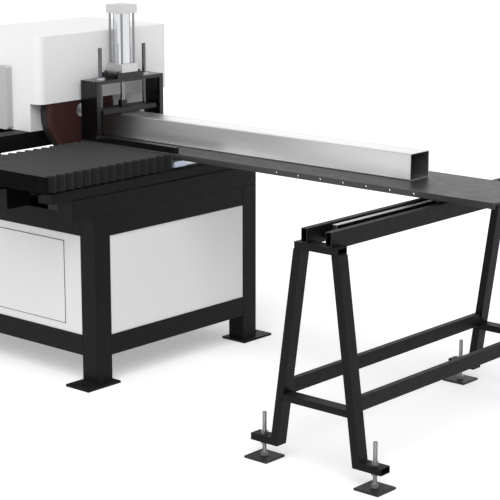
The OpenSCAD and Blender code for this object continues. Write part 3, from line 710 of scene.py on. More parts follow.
@dataclass(frozen=True)
class Grit(Finish):
    """Bonded abrasive: packed grains, and a paler ring rubbed near the rim.

    Attributes:
        grains: Colour of the brightest grains.
        rim: Colour of the rubbed ring.
        centre: Where the disc's axis meets its plane, as Y and Z in metres.
        radius: The disc's radius in metres.
        band: Where the ring starts and ends, as shares of the radius.
        facets: Distance in a grain where it starts and ends to brighten.
        shine: How far the brightest grains take their colour.
    """

    depth: float = 0.0006
    grains: Colour = (0.1, 0.045, 0.038)
    rim: Colour = (0.06, 0.026, 0.022)
    centre: Span = (-0.05, 1.214)
    radius: float = 0.225
    band: Span = (0.86, 0.97)
    facets: Span = (0.55, 0.95)
    shine: float = 0.5

    def surface(self, job: Job, colour: Socket) -> Socket:
        """Adds grains and the rubbed ring.

        Args:
            job: The material under way.
            colour: The colour so far.

        Returns:
            The colour with its ring and grains.
        """
        tree = job.tree
        cells = tree.node("ShaderNodeTexVoronoi", Scale=self.grain)
        tree.link(tree.place(), cells.inputs["Vector"])
        near = cells.outputs["Distance"]
        self.spread(job, near)
        self.bump(job, near)
        place = tree.split(tree.place())
        squares = []
        for along, middle in zip((place["Y"], place["Z"]), self.centre):
            off = tree.maths("SUBTRACT", along, middle)
            squares.append(tree.maths("MULTIPLY", off, off))
        reach = tree.maths("SQRT", tree.maths("ADD", *squares))
        inner, outer = self.band
        ring = tree.remap(reach, (self.radius * inner, self.radius * outer))
        ringed = tree.mix(ring, colour, self.rim)
        return tree.mix(tree.remap(near, self.facets, (0.0, self.shine)), ringed, self.grains)


BLACK = (0.0035, 0.0035, 0.0037)
RUBBED_BLACK = (0.05, 0.05, 0.052)
FINISHES: tuple[Finish, ...] = (
    Paint("frame_paint", BLACK, (0.42, 0.55), 0.13, 0.15, 700.0, 0.12, worn=RUBBED_BLACK),
    Paint("panel_paint", (0.8, 0.8, 0.81), (0.4, 0.5), 0.35, 0.03, 300.0, 0.08, worn=(0.8,) * 3),
    Metal("rail_steel", (0.5, 0.51, 0.53), (0.16, 0.26), 0.5, 0.05, lines=(600.0, 3.0, 600.0)),
    Metal("feed_aluminium", (0.6, 0.61, 0.62), (0.3, 0.4), 0.5, 0.05, lines=(500.0, 4.0, 500.0)),
    Paint("dark_castings", (0.012, 0.012, 0.013), (0.45, 0.6), 0.3, 0.2, 900.0, 0.25),
    Cloth(
        "bellows_cloth", (0.013, 0.0133, 0.0137), (0.62, 0.74), 0.1, 0.12,
        relief=0.25, fold=(0.06,) * 3,
    ),
    Paint(
        "plate_black", (0.003, 0.003, 0.0033), (0.12, 0.2), 0.45, 0.12, 600.0, 0.03,
        worn=(0.04,) * 3,
    ),
    Paint("flange_green", (0.075, 0.085, 0.078), (0.45, 0.6), 0.3, 0.12, 600.0, 0.1),
    Paint(
        "hood_paint", (0.94, 0.94, 0.945), (0.36, 0.48), 0.35, 0.02, 300.0, 0.06,
        worn=(0.7,) * 3,
    ),
    Paint("guard_paint", (0.74, 0.75, 0.75), (0.4, 0.5), 0.35, 0.04, 300.0, 0.06, worn=(0.6,) * 3),
    Paint("box_paint", (0.5, 0.5, 0.505), (0.4, 0.52), 0.35, 0.04, 400.0, 0.12, worn=(0.5,) * 3),
    Paint(
        "housing_iron", (0.03, 0.035, 0.04), (0.5, 0.65), 0.3, 0.2, 260.0, 0.35,
        worn=(0.25, 0.25, 0.26),
    ),
    Metal("bearing_steel", (0.55, 0.56, 0.58), (0.14, 0.22), 0.5, 0.04),
    Paint(
        "motor_paint", (0.05, 0.09, 0.14), (0.45, 0.6), 0.35, 0.15, 350.0, 0.3,
        worn=(0.25, 0.26, 0.28),
    ),
    Finish("belt_rubber", (0.012, 0.012, 0.012), (0.6, 0.75), 0.25, 0.15, 500.0, 0.3),
    Paint(
        "disc_backing", (0.03, 0.031, 0.033), (0.4, 0.55), 0.3, 0.15, 600.0, 0.1,
        worn=(0.3, 0.3, 0.31),
    ),
    Grit("abrasive", (0.04, 0.0125, 0.012), (0.5, 0.8), 0.25, 0.35, 600.0, 0.6),
    Metal("hub_aluminium", (0.68, 0.7, 0.74), (0.36, 0.44), 0.5, 0.06, lines=(3.0, 400.0, 400.0)),
    Metal("block_steel", (0.42, 0.45, 0.56), (0.28, 0.4), 0.5, 0.06, lines=(500.0, 4.0, 500.0)),
    Paint(
        "table_paint", (0.011, 0.0115, 0.0115), (0.36, 0.44), 0.5, 0.06, 500.0, 0.008,
        worn=(0.1,) * 3,
    ),
    Metal("cap_aluminium", (0.62, 0.62, 0.63), (0.42, 0.55), 0.5, 0.05, lines=(40.0, 40.0, 500.0)),
    Metal(
        "barrel_aluminium", (0.66, 0.67, 0.69), (0.1, 0.2), 0.5, 0.04, lines=(260.0, 260.0, 3.0)
    ),
    Metal("tie_steel", (0.26, 0.27, 0.28), (0.22, 0.34), 0.5, 0.06, lines=(500.0, 500.0, 4.0)),
    # Its thread grooves are darkened with painted shade.
    Threaded(
        "zinc_steel", (0.34, 0.345, 0.355), (0.24, 0.36), 0.5, 0.06,
        relief=0.5, lines=(400.0, 400.0, 5.0),
    ),
    Paint(
        "presser_steel", (0.01, 0.0103, 0.0103), (0.32, 0.46), 0.4, 0.15, 500.0, 0.08,
        worn=(0.3,) * 3,
    ),
    Finish("pad_rubber", (0.02, 0.02, 0.02), (0.6, 0.8), 0.25, 0.15, 450.0, 0.35),
    Metal(
        "work_stainless", (0.54, 0.545, 0.545), (0.34, 0.38), 0.5, 0.03,
        relief=0.006, lines=(1.5, 220.0, 220.0),
    ),
    Paint("trestle_paint", BLACK, (0.4, 0.52), 0.14, 0.15, 700.0, 0.12, worn=RUBBED_BLACK),
    Metal(
        "foot_steel", (0.018, 0.0185, 0.02), (0.42, 0.55), 0.4, 0.2,
        lines=(90.0,) * 3, metallic=0.4,
    ),
    # Painted shade: a black darker and duller than plate_black, standing in for the shadow under
    # the bellows' roof.
    Finish("painted_shade_black", (0.0012, 0.0012, 0.0013), (0.7, 0.85), 0.06, 0.2, 500.0, 0.15),
    Metal(
        "screw_black", (0.06, 0.06, 0.065), (0.3, 0.42), 0.5, 0.1, lines=(300.0,) * 3, metallic=0.8
    ),
    # Near-black strip round the access cover: painted shade for the shadow along its edge.
    Finish("edge_shade_black", (0.015, 0.017, 0.02), (0.5, 0.65), 0.3, 0.1, 500.0, 0.2),
    Metal(
        "chrome_rod", (0.12, 0.122, 0.127), (0.06, 0.12), 0.5, 0.02,
        relief=0.03, lines=(400.0, 400.0, 4.0),
    ),
)


class FinishBook:
    """Every finish's material, made once."""

    def __init__(self) -> None:
        """Builds the shared groups, then each material."""
        effects = EffectLibrary()
        self.materials = {f.slot: f.make(effects) for f in FINISHES}

    def __getitem__(self, slot: str) -> bpy.types.Material:
        """The material of a finish."""
        return self.materials[slot]


# ---- Mesh tools

NEAR_AXIS = 1e-5
WELD_SHARP = 60.0
ROUNDING = {"segments": 2, "profile": 0.6, "affect": "EDGES", "clamp_overlap": True}


@dataclass(frozen=True)
class Screw:
    """A socket head, with its sizes in metres and its recess in shares of them.

    Attributes:
        diameter: The head's diameter.
        height: The head's height.
        chamfer: How much of the height the rim's chamfer takes.
        mouth: Where the recess's lip starts, in radii.
        lip: The recess's corners at its lip, in radii.
        foot: The recess's corners at its foot, in radii.
        lip_drop: How far the lip runs down, in chamfers.
        foot_height: Height of the recess's foot.
        tip_height: Height of the middle of its drilled end.
    """

    diameter: float
    height: float
    chamfer: float = 0.12
    mouth: float = 0.62
    lip: float = 0.56
    foot: float = 0.54
    lip_drop: float = 0.6
    foot_height: float = 0.45
    tip_height: float = 0.4

    def rings(self) -> tuple[tuple[float, float, bool], ...]:
        """Lists the head's rings, up its side and down its recess.

        Returns:
            Each ring's radius, its distance from the seat and whether it is six-sided.
        """
        r, high = self.diameter / 2.0, self.height
        cut = high * self.chamfer
        return (
            (r, 0.0, False),
            (r, high - cut, False),
            (r - cut, high, False),
            (r * self.mouth, high, False),
            (r * self.lip, high - cut * self.lip_drop, True),
            (r * self.foot, high * self.foot_height, True),
            (NEAR_AXIS, high * self.tip_height, True),
        )


class Shape:
    """A mesh under construction, in metres and in the machine's frame."""

    def __init__(self) -> None:
        """Starts with an empty mesh."""
        self.bm = bmesh.new()

    def ring(self, points: Iterable[Vector]) -> list[Vertex]:
        """Adds one vertex for each point."""
        return [self.bm.verts.new(p) for p in points]

    def skin(self, rings: Sequence[Sequence[Vertex]], closed: bool = True) -> None:
        """Joins rings of equal count with quads.

        Args:
            rings: The rings in order.
            closed: Whether each ring's last vertex joins its first.
        """
        for low, high in zip(rings, rings[1:]):
            count = len(low)
            for i in range(count if closed else count - 1):
                j = (i + 1) % count
                self.bm.faces.new((low[i], low[j], high[j], high[i]))

    def turned(self, base: Point, axis: Axis, profile: Profile, sides: int = 32) -> None:
        """Adds a solid turned about an axis.

        Args:
            base: Where the axis starts.
            axis: The axis's direction.
            profile: Radius and distance along the axis, from the axis out and back.
            sides: Faces round it.
        """
        turn = Matrix.Translation(Vector(base)) @ axis.turned()
        rings = []
        for radius, along in profile:
            r = max(radius, NEAR_AXIS)
            points = (Vector((r * math.cos(a), r * math.sin(a), along)) for a in angles(sides))
            rings.append(self.ring(turn @ point for point in points))
        self.skin(rings)

    def block(self, low: Point, high: Point, ease: float) -> None:
        """Adds a box with eased edges.

        Args:
            low: Its lowest corner.
            high: Its highest corner.
            ease: How far each edge is cut back.
        """
        size = Vector(high) - Vector(low)
        middle = Matrix.Translation((Vector(high) + Vector(low)) / 2.0)
        matrix = middle @ Matrix.Diagonal((*size, 1.0))
        made = bmesh.ops.create_cube(self.bm, size=1.0, matrix=matrix)
        edges = list({e for v in made["verts"] for e in v.link_edges})
        bmesh.ops.bevel(self.bm, geom=edges, offset=ease, **ROUNDING)

    def frame(self, low: Point, high: Point, wide: float, ease: float) -> None:
        """Adds four strips round an upright rectangle that faces along Y.

        Args:
            low: Lowest corner of them all.
            high: Highest corner of them all.
            wide: Each strip's width.
            ease: How far each edge is cut back.
        """
        (x0, y0, z0), (x1, y1, z1) = low, high
        self.block((x0, y0, z0), (x1, y1, z0 + wide), ease)
        self.block((x0, y0, z1 - wide), (x1, y1, z1), ease)
        self.block((x0, y0, z0 + wide), (x0 + wide, y1, z1 - wide), ease)
        self.block((x1 - wide, y0, z0 + wide), (x1, y1, z1 - wide), ease)

    def screws(self, seats: Iterable[Point], axis: Axis, screw: Screw) -> None:
        """Adds a socket head at each seat.

        Args:
            seats: The middles of the heads' seats.
            axis: Away from the seats.
            screw: The head's sizes.
        """
        sides, sixth = 24, math.pi / 3.0
        for seat in seats:
            turn = Matrix.Translation(Vector(seat)) @ axis.turned()
            rings = []
            for radius, along, six in screw.rings():
                points = []
                for a in angles(sides):
                    flat = math.cos(sixth / 2.0) / math.cos(a % sixth - sixth / 2.0)
                    r = radius * (flat if six else 1.0)
                    points.append(turn @ Vector((r * math.cos(a), r * math.sin(a), along)))
                rings.append(self.ring(points))
            self.skin(rings)

    def bead(self, path: Sequence[Point], width: float, seed: int) -> None:
        """Adds a rippled weld bead along straight runs.

        Args:
            path: The run's points.
            width: The bead's width.
            seed: Shifts its ripples.
        """
        step, fewest, sides = 0.004, 4, 8
        ripples = ((0.12, 1.7, 1.0), (0.06, 0.61, 2.0))
        rise, tip = 6.0, 0.15
        for start, end in zip(path, path[1:]):
            a, b = Vector(start), Vector(end)
            run = b - a
            steps = max(fewest, int(run.length / step))
            side = run.normalized().orthogonal()
            up = run.normalized().cross(side)
            rings = []
            for i in range(steps + 1):
                t = i / steps
                waves = (k * math.sin(i * turn + seed * shift) for k, turn, shift in ripples)
                taper = min(1.0, rise * t + tip, rise * (1.0 - t) + tip)
                r = width / 2.0 * (1.0 + sum(waves)) * taper
                middle = a + run * t
                rays = (side * math.cos(q) + up * math.sin(q) for q in angles(sides))
                rings.append(self.ring(middle + ray * r for ray in rays))
            self.skin(rings)

    def finish(
        self, name: str, material: bpy.types.Material, smooth: float = 35.0
    ) -> bpy.types.Object:
        """Turns the mesh into an object.

        Args:
            name: The piece's name.
            material: Its finish.
            smooth: Edges sharper than this many degrees stay sharp.

        Returns:
            The new object, not yet on a body.
        """
        bmesh.ops.recalc_face_normals(self.bm, faces=self.bm.faces)
        mesh = bpy.data.meshes.new(name)
        self.bm.to_mesh(mesh)
        self.bm.free()
        mesh.polygons.foreach_set("use_smooth", [True] * len(mesh.polygons))
        mesh.set_sharp_from_angle(angle=math.radians(smooth))
        mesh.materials.append(material)
        made = bpy.data.objects.new(name, mesh)
        bpy.context.scene.collection.objects.link(made)
        return made


@dataclass
class Workshop:
    """What every sub-assembly needs.

    Attributes:
        nodes: The frame's solids by name.
        book: The finishes.
    """

    nodes: dict[str, bpy.types.Object]
    book: FinishBook


@dataclass
class SubAssembly:
    """A group of pieces that are made and dressed together.

    Attributes:
        shop: The frame and the finishes.
        eased: Each solid that gets eased edges, with its finish, its body and the cut in metres.
        kept: Each solid that stays as it is, with its finish.
    """

    shop: Workshop
    eased: dict[str, tuple[str, Body, float]] = field(default_factory=dict)
    kept: dict[str, str] = field(default_factory=dict)

    def build(self) -> None:
        """Dresses the solids, then adds the details."""
        for node, slot in self.kept.items():
            self.dress(node, slot)
        for node, (slot, body, cut) in self.eased.items():
            self.ease(node, slot, body, cut)
        self.details()

    def details(self) -> None:
        """Adds what the solids leave out."""

    def dress(self, node: str, slot: str) -> None:
        """Gives a solid its finish in its own material slots.

        Args:
            node: The solid's name.
            slot: Its finish.
        """
        piece = self.shop.nodes[node]
        if not piece.material_slots:
            piece.data.materials.append(self.shop.book[slot])
        for place in piece.material_slots:
            place.material = self.shop.book[slot]
        LOG.info("%s keeps its solid in %s", node, slot)

    def ease(self, node: str, slot: str, body: Body, cut: float) -> None:
        """Replaces a solid with a copy whose edges are eased.

        Args:
            node: The solid's name.
            slot: Its finish.
            body: The body that it rides on.
            cut: How far each edge is cut back, in metres.
        """
        same_point, flat, quad = 1e-6, math.radians(0.5), 4
        corner = math.radians(40.0)
        shape = Shape()
        bm = shape.bm
        bm.from_mesh(self.shop.nodes[node].data)
        bmesh.ops.remove_doubles(bm, verts=bm.verts, dist=same_point)
        bmesh.ops.dissolve_limit(bm, angle_limit=flat, verts=bm.verts, edges=bm.edges)
        bmesh.ops.triangulate(bm, faces=[f for f in bm.faces if len(f.verts) > quad])
        sharp = [e for e in bm.edges if e.is_manifold and e.calc_face_angle(0.0) > corner]
        bmesh.ops.bevel(bm, geom=sharp, offset=cut, **ROUNDING)
        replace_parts(self.add(shape, f"{node}_eased", slot, body), node)

    def add(
        self,
        shape: Shape,
        name: str,
        slot: str,
        body: Body = Body.BASE,
        smooth: float = 35.0,
    ) -> bpy.types.Object:
        """Turns a shape into a piece, evens its shading and lets it ride on its body.

        Args:
            shape: The piece's mesh.
            name: The piece's name.
            slot: Its finish.
            body: The body that it rides on.
            smooth: Edges sharper than this many degrees stay sharp.

        Returns:
            The new piece.
        """
        piece = shape.finish(name, self.shop.book[slot], smooth)
        even = piece.modifiers.new("even_shading", "WEIGHTED_NORMAL")
        even.keep_sharp = True
        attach(piece, body.value)
        LOG.info("%s rides on %s in %s", piece.name, body.value, slot)
        return piece


# ---- The machine


@dataclass
class BaseFrame(SubAssembly):
    """The welded stand of square tube, its bed, its panels and its anchor plates.

    Attributes:
        half_x: Half the stand's length.
        half_y: Half its width.
        post: Side of the legs' tube.
        foot_bead: Height and width of the bead round each leg's foot.
        joints: Lowest and highest point of each rail's joint with a leg.
        joint_bead: How far the beads up a joint are sunk, and their width.
        seeds: Shifts of the ripples in the two beads at a joint.
        screw: The access cover's screws.
        columns: How many there are in a row.
        rim: Distance from the cover's edge to their middle.
        sunk: How far their seats are sunk.
        edge_shade: Width of the dark strip of painted shade round the cover, and its edges' cut.
        edge_shade_y: How far it lies behind the cover's front and before its back.
        beams: Each pair of beams that is capped, with a beam's width.
        cap: How far a cap lies in from the tube's sides, and its edges' cut.
        cap_y: Where a cap starts and ends behind the beam's mouth.
    """

    half_x: float = 0.615
    half_y: float = 0.575
    post: float = 0.1
    foot_bead: Span = (0.0125, 0.005)
    joints: tuple[Span, ...] = ((0.143, 0.237), (0.727, 0.821))
    joint_bead: Span = (0.0005, 0.0025)
    seeds: tuple[int, int] = (5, 9)
    screw: Screw = Screw(0.007, 0.0022)
    columns: int = 5
    rim: float = 0.0085
    sunk: float = 0.0004
    edge_shade: Span = (0.003, 0.0004)
    edge_shade_y: Span = (0.0012, 0.0006)
    beams: tuple[tuple[str, float], ...] = (("bed_beams", 0.1), ("rail_beams", 0.09))
    cap: Span = (0.0035, 0.0012)
    cap_y: Span = (0.0008, 0.004)

    def details(self) -> None:
        """Adds the welds, the cover's screws, a dark strip of painted shade round the cover, and
        the beams' caps.
        """
        self.welds()
        self.cover_screws()
        self.cover_gasket()
        self.beam_caps()

    def welds(self) -> None:
        """Runs a bead round each leg's foot and up each rail's joint on the outside."""
        shape = Shape()
        z, wide = self.foot_bead
        sunk, slim = self.joint_bead
        for i, (sx, sy) in enumerate(((1, 1), (1, -1), (-1, 1), (-1, -1))):
            x0, x1 = sx * (self.half_x - self.post), sx * self.half_x
            y0, y1 = sy * (self.half_y - self.post), sy * self.half_y
            corners = ((x0, y0, z), (x1, y0, z), (x1, y1, z), (x0, y1, z), (x0, y0, z))
            shape.bead(corners, wide, i)
            sides = ((x0, y1 - sy * sunk), (x1 - sx * sunk, y0))
            for low, high in self.joints:
                for (x, y), seed in zip(sides, self.seeds):
                    shape.bead(((x, y, low), (x, y, high)), slim, i + seed)
        self.add(shape, "frame_weld_beads", "frame_paint", smooth=WELD_SHARP)

    def cover_screws(self) -> None:
        """Puts rows of small screws along the access cover's rim."""
        shape = Shape()
        low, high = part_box("access_cover")
        xs = spaced(low.x + self.rim, high.x - self.rim, self.columns)
        zs = (low.z + self.rim, high.z - self.rim)
        seats = [(x, low.y + self.sunk, z) for x in xs for z in zs]
        shape.screws(seats, Axis.MINUS_Y, self.screw)
        self.add(shape, "cover_screws", "panel_paint")

    def cover_gasket(self) -> None:
        """Lays a dark strip round the access cover, painted shade for the shadow along the cover's
        edge.
        """
        shape = Shape()
        low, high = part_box("access_cover")
        wide, ease = self.edge_shade
        front, back = self.edge_shade_y
        shape.frame(
            (low.x - wide, low.y + front, low.z - wide),
            (high.x + wide, high.y - back, high.z + wide),
            wide,
            ease,
        )
        self.add(shape, "cover_gasket", "edge_shade_black")

    def beam_caps(self) -> None:
        """Closes the mouths of the bed beams and the rail beams with welded plates."""
        shape = Shape()
        inset, ease = self.cap
        near, far = self.cap_y
        for node, wide in self.beams:
            low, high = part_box(node)
            z0, z1 = low.z + inset, high.z - inset
            for x in (low.x, high.x - wide):
                for y0, y1 in ((low.y + near, low.y + far), (high.y - far, high.y - near)):
                    shape.block((x + inset, y0, z0), (x + wide - inset, y1, z1), ease)
        self.add(shape, "beam_end_caps", "frame_paint")


@dataclass
class LinearWays(SubAssembly):
    """The guide rails, their screws, the rodless feed cylinder and its ends.

    Attributes:
        rails: Each rail's X, its two ends in Y, and the height of its top.
        pitch: Distance between a rail's screws.
        spare: Least length that a rail's two ends leave over, in pitches.
        plug: Profile of the cap over a screw.
        plug_sunk: How far its foot is sunk.
        plug_sides: Faces round it.
        fitting: Profile of an air fitting.
        fitting_y: Distance of a fitting from the cylinder's end.
        fitting_sunk: How far its foot is sunk.
        screw: The end caps' screws.
        screw_at: Distance of a screw from the fitting, in X and Y.
        screw_sunk: How far its seat is sunk.
    """

    rails: tuple[tuple[float, float, float, float], ...] = (
        (0.110, -0.785, 0.637, 0.997),
        (0.565, -0.785, 0.637, 0.997),
        (2.140, -0.701, 0.567, 1.029),
    )
    pitch: float = 0.06
    spare: float = 0.5
    plug: Profile = (
        (0.0, 0.0),
        (0.0055, 0.0),
        (0.0055, 0.0005),
        (0.00506, 0.0007),
        (0.00473, 0.0005),
        (0.0, 0.0005),
    )
    plug_sunk: float = 0.0004
    plug_sides: int = 20
    fitting: Profile = (
        (0.0, 0.0),
        (0.009, 0.0),
        (0.009, 0.008),
        (0.007, 0.0095),
        (0.007, 0.018),
        (0.005, 0.02),
        (0.0, 0.02),
    )
    fitting_y: float = 0.035
    fitting_sunk: float = 0.001
    screw: Screw = Screw(0.01, 0.006)
    screw_at: Span = (0.028, 0.024)
    screw_sunk: float = 0.0005

    def details(self) -> None:
        """Adds the rail screws and the feed cylinder's fittings."""
        self.rail_screws()
        self.feed_fittings()

    def rail_screws(self) -> None:
        """Sets a capped screw in the rails at every pitch, a shade proud of the top."""
        shape = Shape()
        for x, y0, y1, z in self.rails:
            count = int((y1 - y0) / self.pitch - self.spare)
            start = (y0 + y1 - count * self.pitch) / 2.0
            for k in range(count + 1):
                seat = (x, start + k * self.pitch, z - self.plug_sunk)
                shape.turned(seat, Axis.Z, self.plug, self.plug_sides)
        self.add(shape, "rail_screw_caps", "rail_steel")

    def feed_fittings(self) -> None:
        """Adds an air fitting and four screws to each end of the feed cylinder."""
        fittings, screws = Shape(), Shape()
        low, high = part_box("feed_end_caps")
        x, z = (low.x + high.x) / 2.0, high.z
        dx, dy = self.screw_at
        for y in (low.y + self.fitting_y, high.y - self.fitting_y):
            fittings.turned((x, y, z - self.fitting_sunk), Axis.Z, self.fitting)
            places = [(x + sx * dx, y + sy * dy) for sx in SIGNS for sy in SIGNS]
            seats = [(*place, z - self.screw_sunk) for place in places]
            screws.screws(seats, Axis.Z, self.screw)
        self.add(fittings, "feed_air_fittings", "hub_aluminium")
        self.add(screws, "feed_cap_screws", "screw_black")


@dataclass
class Bellows(SubAssembly):
    """The two folding covers of coated cloth over the ways.

    Attributes:
        middle: The covers' middle in X.
        half: Half the width at a fold's outer edge.
        depth: How far a valley lies inside it.
        top: Height of the roof's ridges.
        foot: Height of the skirt's lower edge.
        hem: Height of the skirt's hem.
        cloth: Thickness of the cloth.
        folds: Ridges in each cover.
        rows: Rows of vertices in each fold.
        press: Gain and shift that press the ridges and valleys flat.
        roof_dip: How far the roof's valleys lie below its ridges.
        sag: How far the roof sags in its middle.
        turn: Radius of the corner between the roof and a skirt.
        turn_at: Where the corner's vertices lie round it, in radians.
        spans: Steps across half of the roof.
        hold: How much of each end would keep to its own body; not used.
        smooth: Edges sharper than this many degrees stay sharp.
        front: Where the front cover is fixed and where it meets the carriage.
        rear: The same for the rear cover.
    """

    middle: float = 0.3375
    half: float = 0.3155
    depth: float = 0.027
    top: float = 1.0655
    foot: float = 0.9885
    hem: float = 0.02
    cloth: float = 0.002
    folds: int = 15
    rows: int = 8
    press: Span = (1.16, 0.08)
    roof_dip: float = 0.0014
    sag: float = 0.0012
    turn: float = 0.006
    turn_at: Span = (0.5, 1.05)
    spans: int = 10
    hold: float = 0.002
    smooth: float = 30.0
    front: Span = (-0.899, -0.090)
    rear: Span = (0.715, 0.405)

    def details(self) -> None:
        """Makes both covers."""
        self.cover("bellows_front", *self.front)
        self.cover("bellows_rear", *self.rear)

    def section(self, y: float, inward: float) -> list[Vector]:
        """The cloth's line across the machine at one place.

        Args:
            y: Where the section lies.
            inward: 0 at a ridge and 1 at a valley.

        Returns:
            The points from one skirt's foot to the other's.
        """
        half = self.half - self.depth * inward
        top = self.top - self.roof_dip * inward
        turn, flat = self.turn, half - self.turn
        heights = (self.foot, self.foot + self.hem, top - turn * 2.0, top - turn)
        line = [(half, z) for z in heights]
        for q in self.turn_at:
            line.append((half - turn * (1.0 - math.cos(q)), top - turn * (1.0 - math.sin(q))))
        for k in range(self.spans):
            share = 1.0 - k / self.spans
            line.append((flat * share, top - self.sag * (1.0 - (2.0 * share - 1.0) ** 2)))
        mirrored = [(-x, z) for x, z in reversed(line)]
        ridge = (0.0, top - self.sag)
        return [Vector((self.middle + x, y, z)) for x, z in (*line, ridge, *mirrored)]

    def cover(self, node: str, fixed: float, moving: float) -> None:
        """Makes one cover, from where it is fixed to where it meets the carriage.

        Args:
            node: The solid that it stands for.
            fixed: Where it meets its end plate.
            moving: Where it meets the carriage.
        """
        shape = Shape()
        count = self.folds * self.rows
        gain, shift = self.press
        lines = []
        for i in range(count + 1):
            inward = 1.0 - abs((i % self.rows) / self.rows * 2.0 - 1.0)
            y = fixed + (moving - fixed) * i / count
            lines.append(shape.ring(self.section(y, min(1.0, max(0.0, inward * gain - shift)))))
        shape.skin(lines, closed=False)
        piece = shape.finish(f"{node}_cloth", self.shop.book["bellows_cloth"], self.smooth)
        body = piece.modifiers.new("cloth", "SOLIDIFY")
        body.thickness = self.cloth
        body.offset = 1.0 if self._faces_in(piece) else -1.0
        with bpy.context.temp_override(object=piece, active_object=piece):
            bpy.ops.object.modifier_apply(modifier=body.name)
        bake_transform(piece)
        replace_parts(piece, node)
        LOG.info("%s folds between base and carriage", piece.name)

    def _faces_in(self, piece: bpy.types.Object) -> bool:
        """Whether the roof's faces look down, into the cover."""
        roof = max(piece.data.polygons, key=lambda p: p.center.z)
        return roof.normal.z < 0.0


@dataclass
class Bridge(SubAssembly):
    """The deck that carries the grinding head, with its hood and control box.

    Attributes:
        screw: The hood's screws.
        counts: How many there are on the left side and on the far side.
        corner: Distance from the hood's corners to the nearest screws.
        row: Length of the row of screws on the far side.
        rim: Height of the screws over the hood's lower edge.
        sunk: How far their seats are sunk.
        lid_inset: Distance from the control box's edge to its lid's seam.
        lid_wide: The seam's width, and its edges' cut.
        lid_y: How far it stands out of the box, and how far it is sunk.
    """

    screw: Screw = Screw(0.009, 0.0036)
    counts: tuple[int, int] = (5, 6)
    corner: float = 0.09
    row: float = 0.42
    rim: float = 0.009
    sunk: float = 0.0004
    lid_inset: float = 0.018
    lid_wide: Span = (0.0016, 0.0002)
    lid_y: Span = (0.00012, 0.0006)

    def details(self) -> None:
        """Adds the hood's fixing screws and the control box's lid."""
        self.hood_screws()
        self.box_lid()

    def hood_screws(self) -> None:
        """Puts a row of screws along the lower edge of the hood's left and far sides."""
        shape = Shape()
        low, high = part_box("hood_shell")
        z = low.z + self.rim
        left, far = self.counts
        ys = spaced(low.y + self.corner, high.y - self.corner, left)
        xs = spaced(low.x + self.corner, low.x + self.corner + self.row, far)
        shape.screws([(low.x + self.sunk, y, z) for y in ys], Axis.MINUS_X, self.screw)
        shape.screws([(x, high.y - self.sunk, z) for x in xs], Axis.Y, self.screw)
        self.add(shape, "hood_screws", "screw_black")

    def box_lid(self) -> None:
        """Draws the control box's lid seam as a thin frame of four strips."""
        shape = Shape()
        low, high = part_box("control_box")
        inset = self.lid_inset
        wide, ease = self.lid_wide
        out, sunk = self.lid_y
        shape.frame(
            (low.x + inset, low.y - out, low.z + inset),
            (high.x - inset, low.y + sunk, high.z - inset),
            wide,
            ease,
        )
        self.add(shape, "control_box_lid_seam", "box_paint")


@dataclass
class GrindingHead(SubAssembly):
    """The motor, belt, spindle and abrasive disc.

    Attributes:
        fins: How many fins the motor has.
        first: Where the first fin stands round the motor, in degrees.
        sweep: How far round it they reach, in degrees.
        ends: Distance from the motor's two ends to the fins.
        ramp: Length of a fin's sloping end.
        fin: A fin's height at its ends and along its run.
        root: How deep its root is sunk, and half the root's width.
        tip: Half the tip's width.
    """

    fins: int = 26
    first: float = -35.0
    sweep: float = 250.0
    ends: Span = (0.03, 0.05)
    ramp: float = 0.006
    fin: Span = (0.001, 0.009)
    root: Span = (0.001, 0.0022)
    tip: float = 0.0012

    def details(self) -> None:
        """Runs cooling fins along the motor's body, clear of its foot."""
        shape = Shape()
        low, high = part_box("motor_body")
        y, z = (low.y + high.y) / 2.0, (low.z + high.z) / 2.0
        r = (high.z - low.z) / 2.0
        x0, x1 = low.x + self.ends[0], high.x - self.ends[1]
        flat, tall = self.fin
        sunk, half = self.root
        run = ((x0, flat), (x0 + self.ramp, tall), (x1 - self.ramp, tall), (x1, flat))
        for turn in spaced(self.first, self.first + self.sweep, self.fins):
            a = math.radians(turn)
            out = Vector((0.0, math.cos(a), math.sin(a)))
            side = Vector((0.0, -math.sin(a), math.cos(a)))
            rings = []
            for x, lift in run:
                root = Vector((x, y, z)) + out * (r - sunk)
                tip = Vector((x, y, z)) + out * (r + lift)
                low_edge, high_edge = side * half, side * self.tip
                corners = (root - low_edge, root + low_edge, tip + high_edge, tip - high_edge)
                rings.append(shape.ring(corners))
            shape.skin(rings)
            shape.bm.faces.new(rings[0])
            shape.bm.faces.new(rings[-1])
        self.add(shape, "motor_fins", "motor_paint")


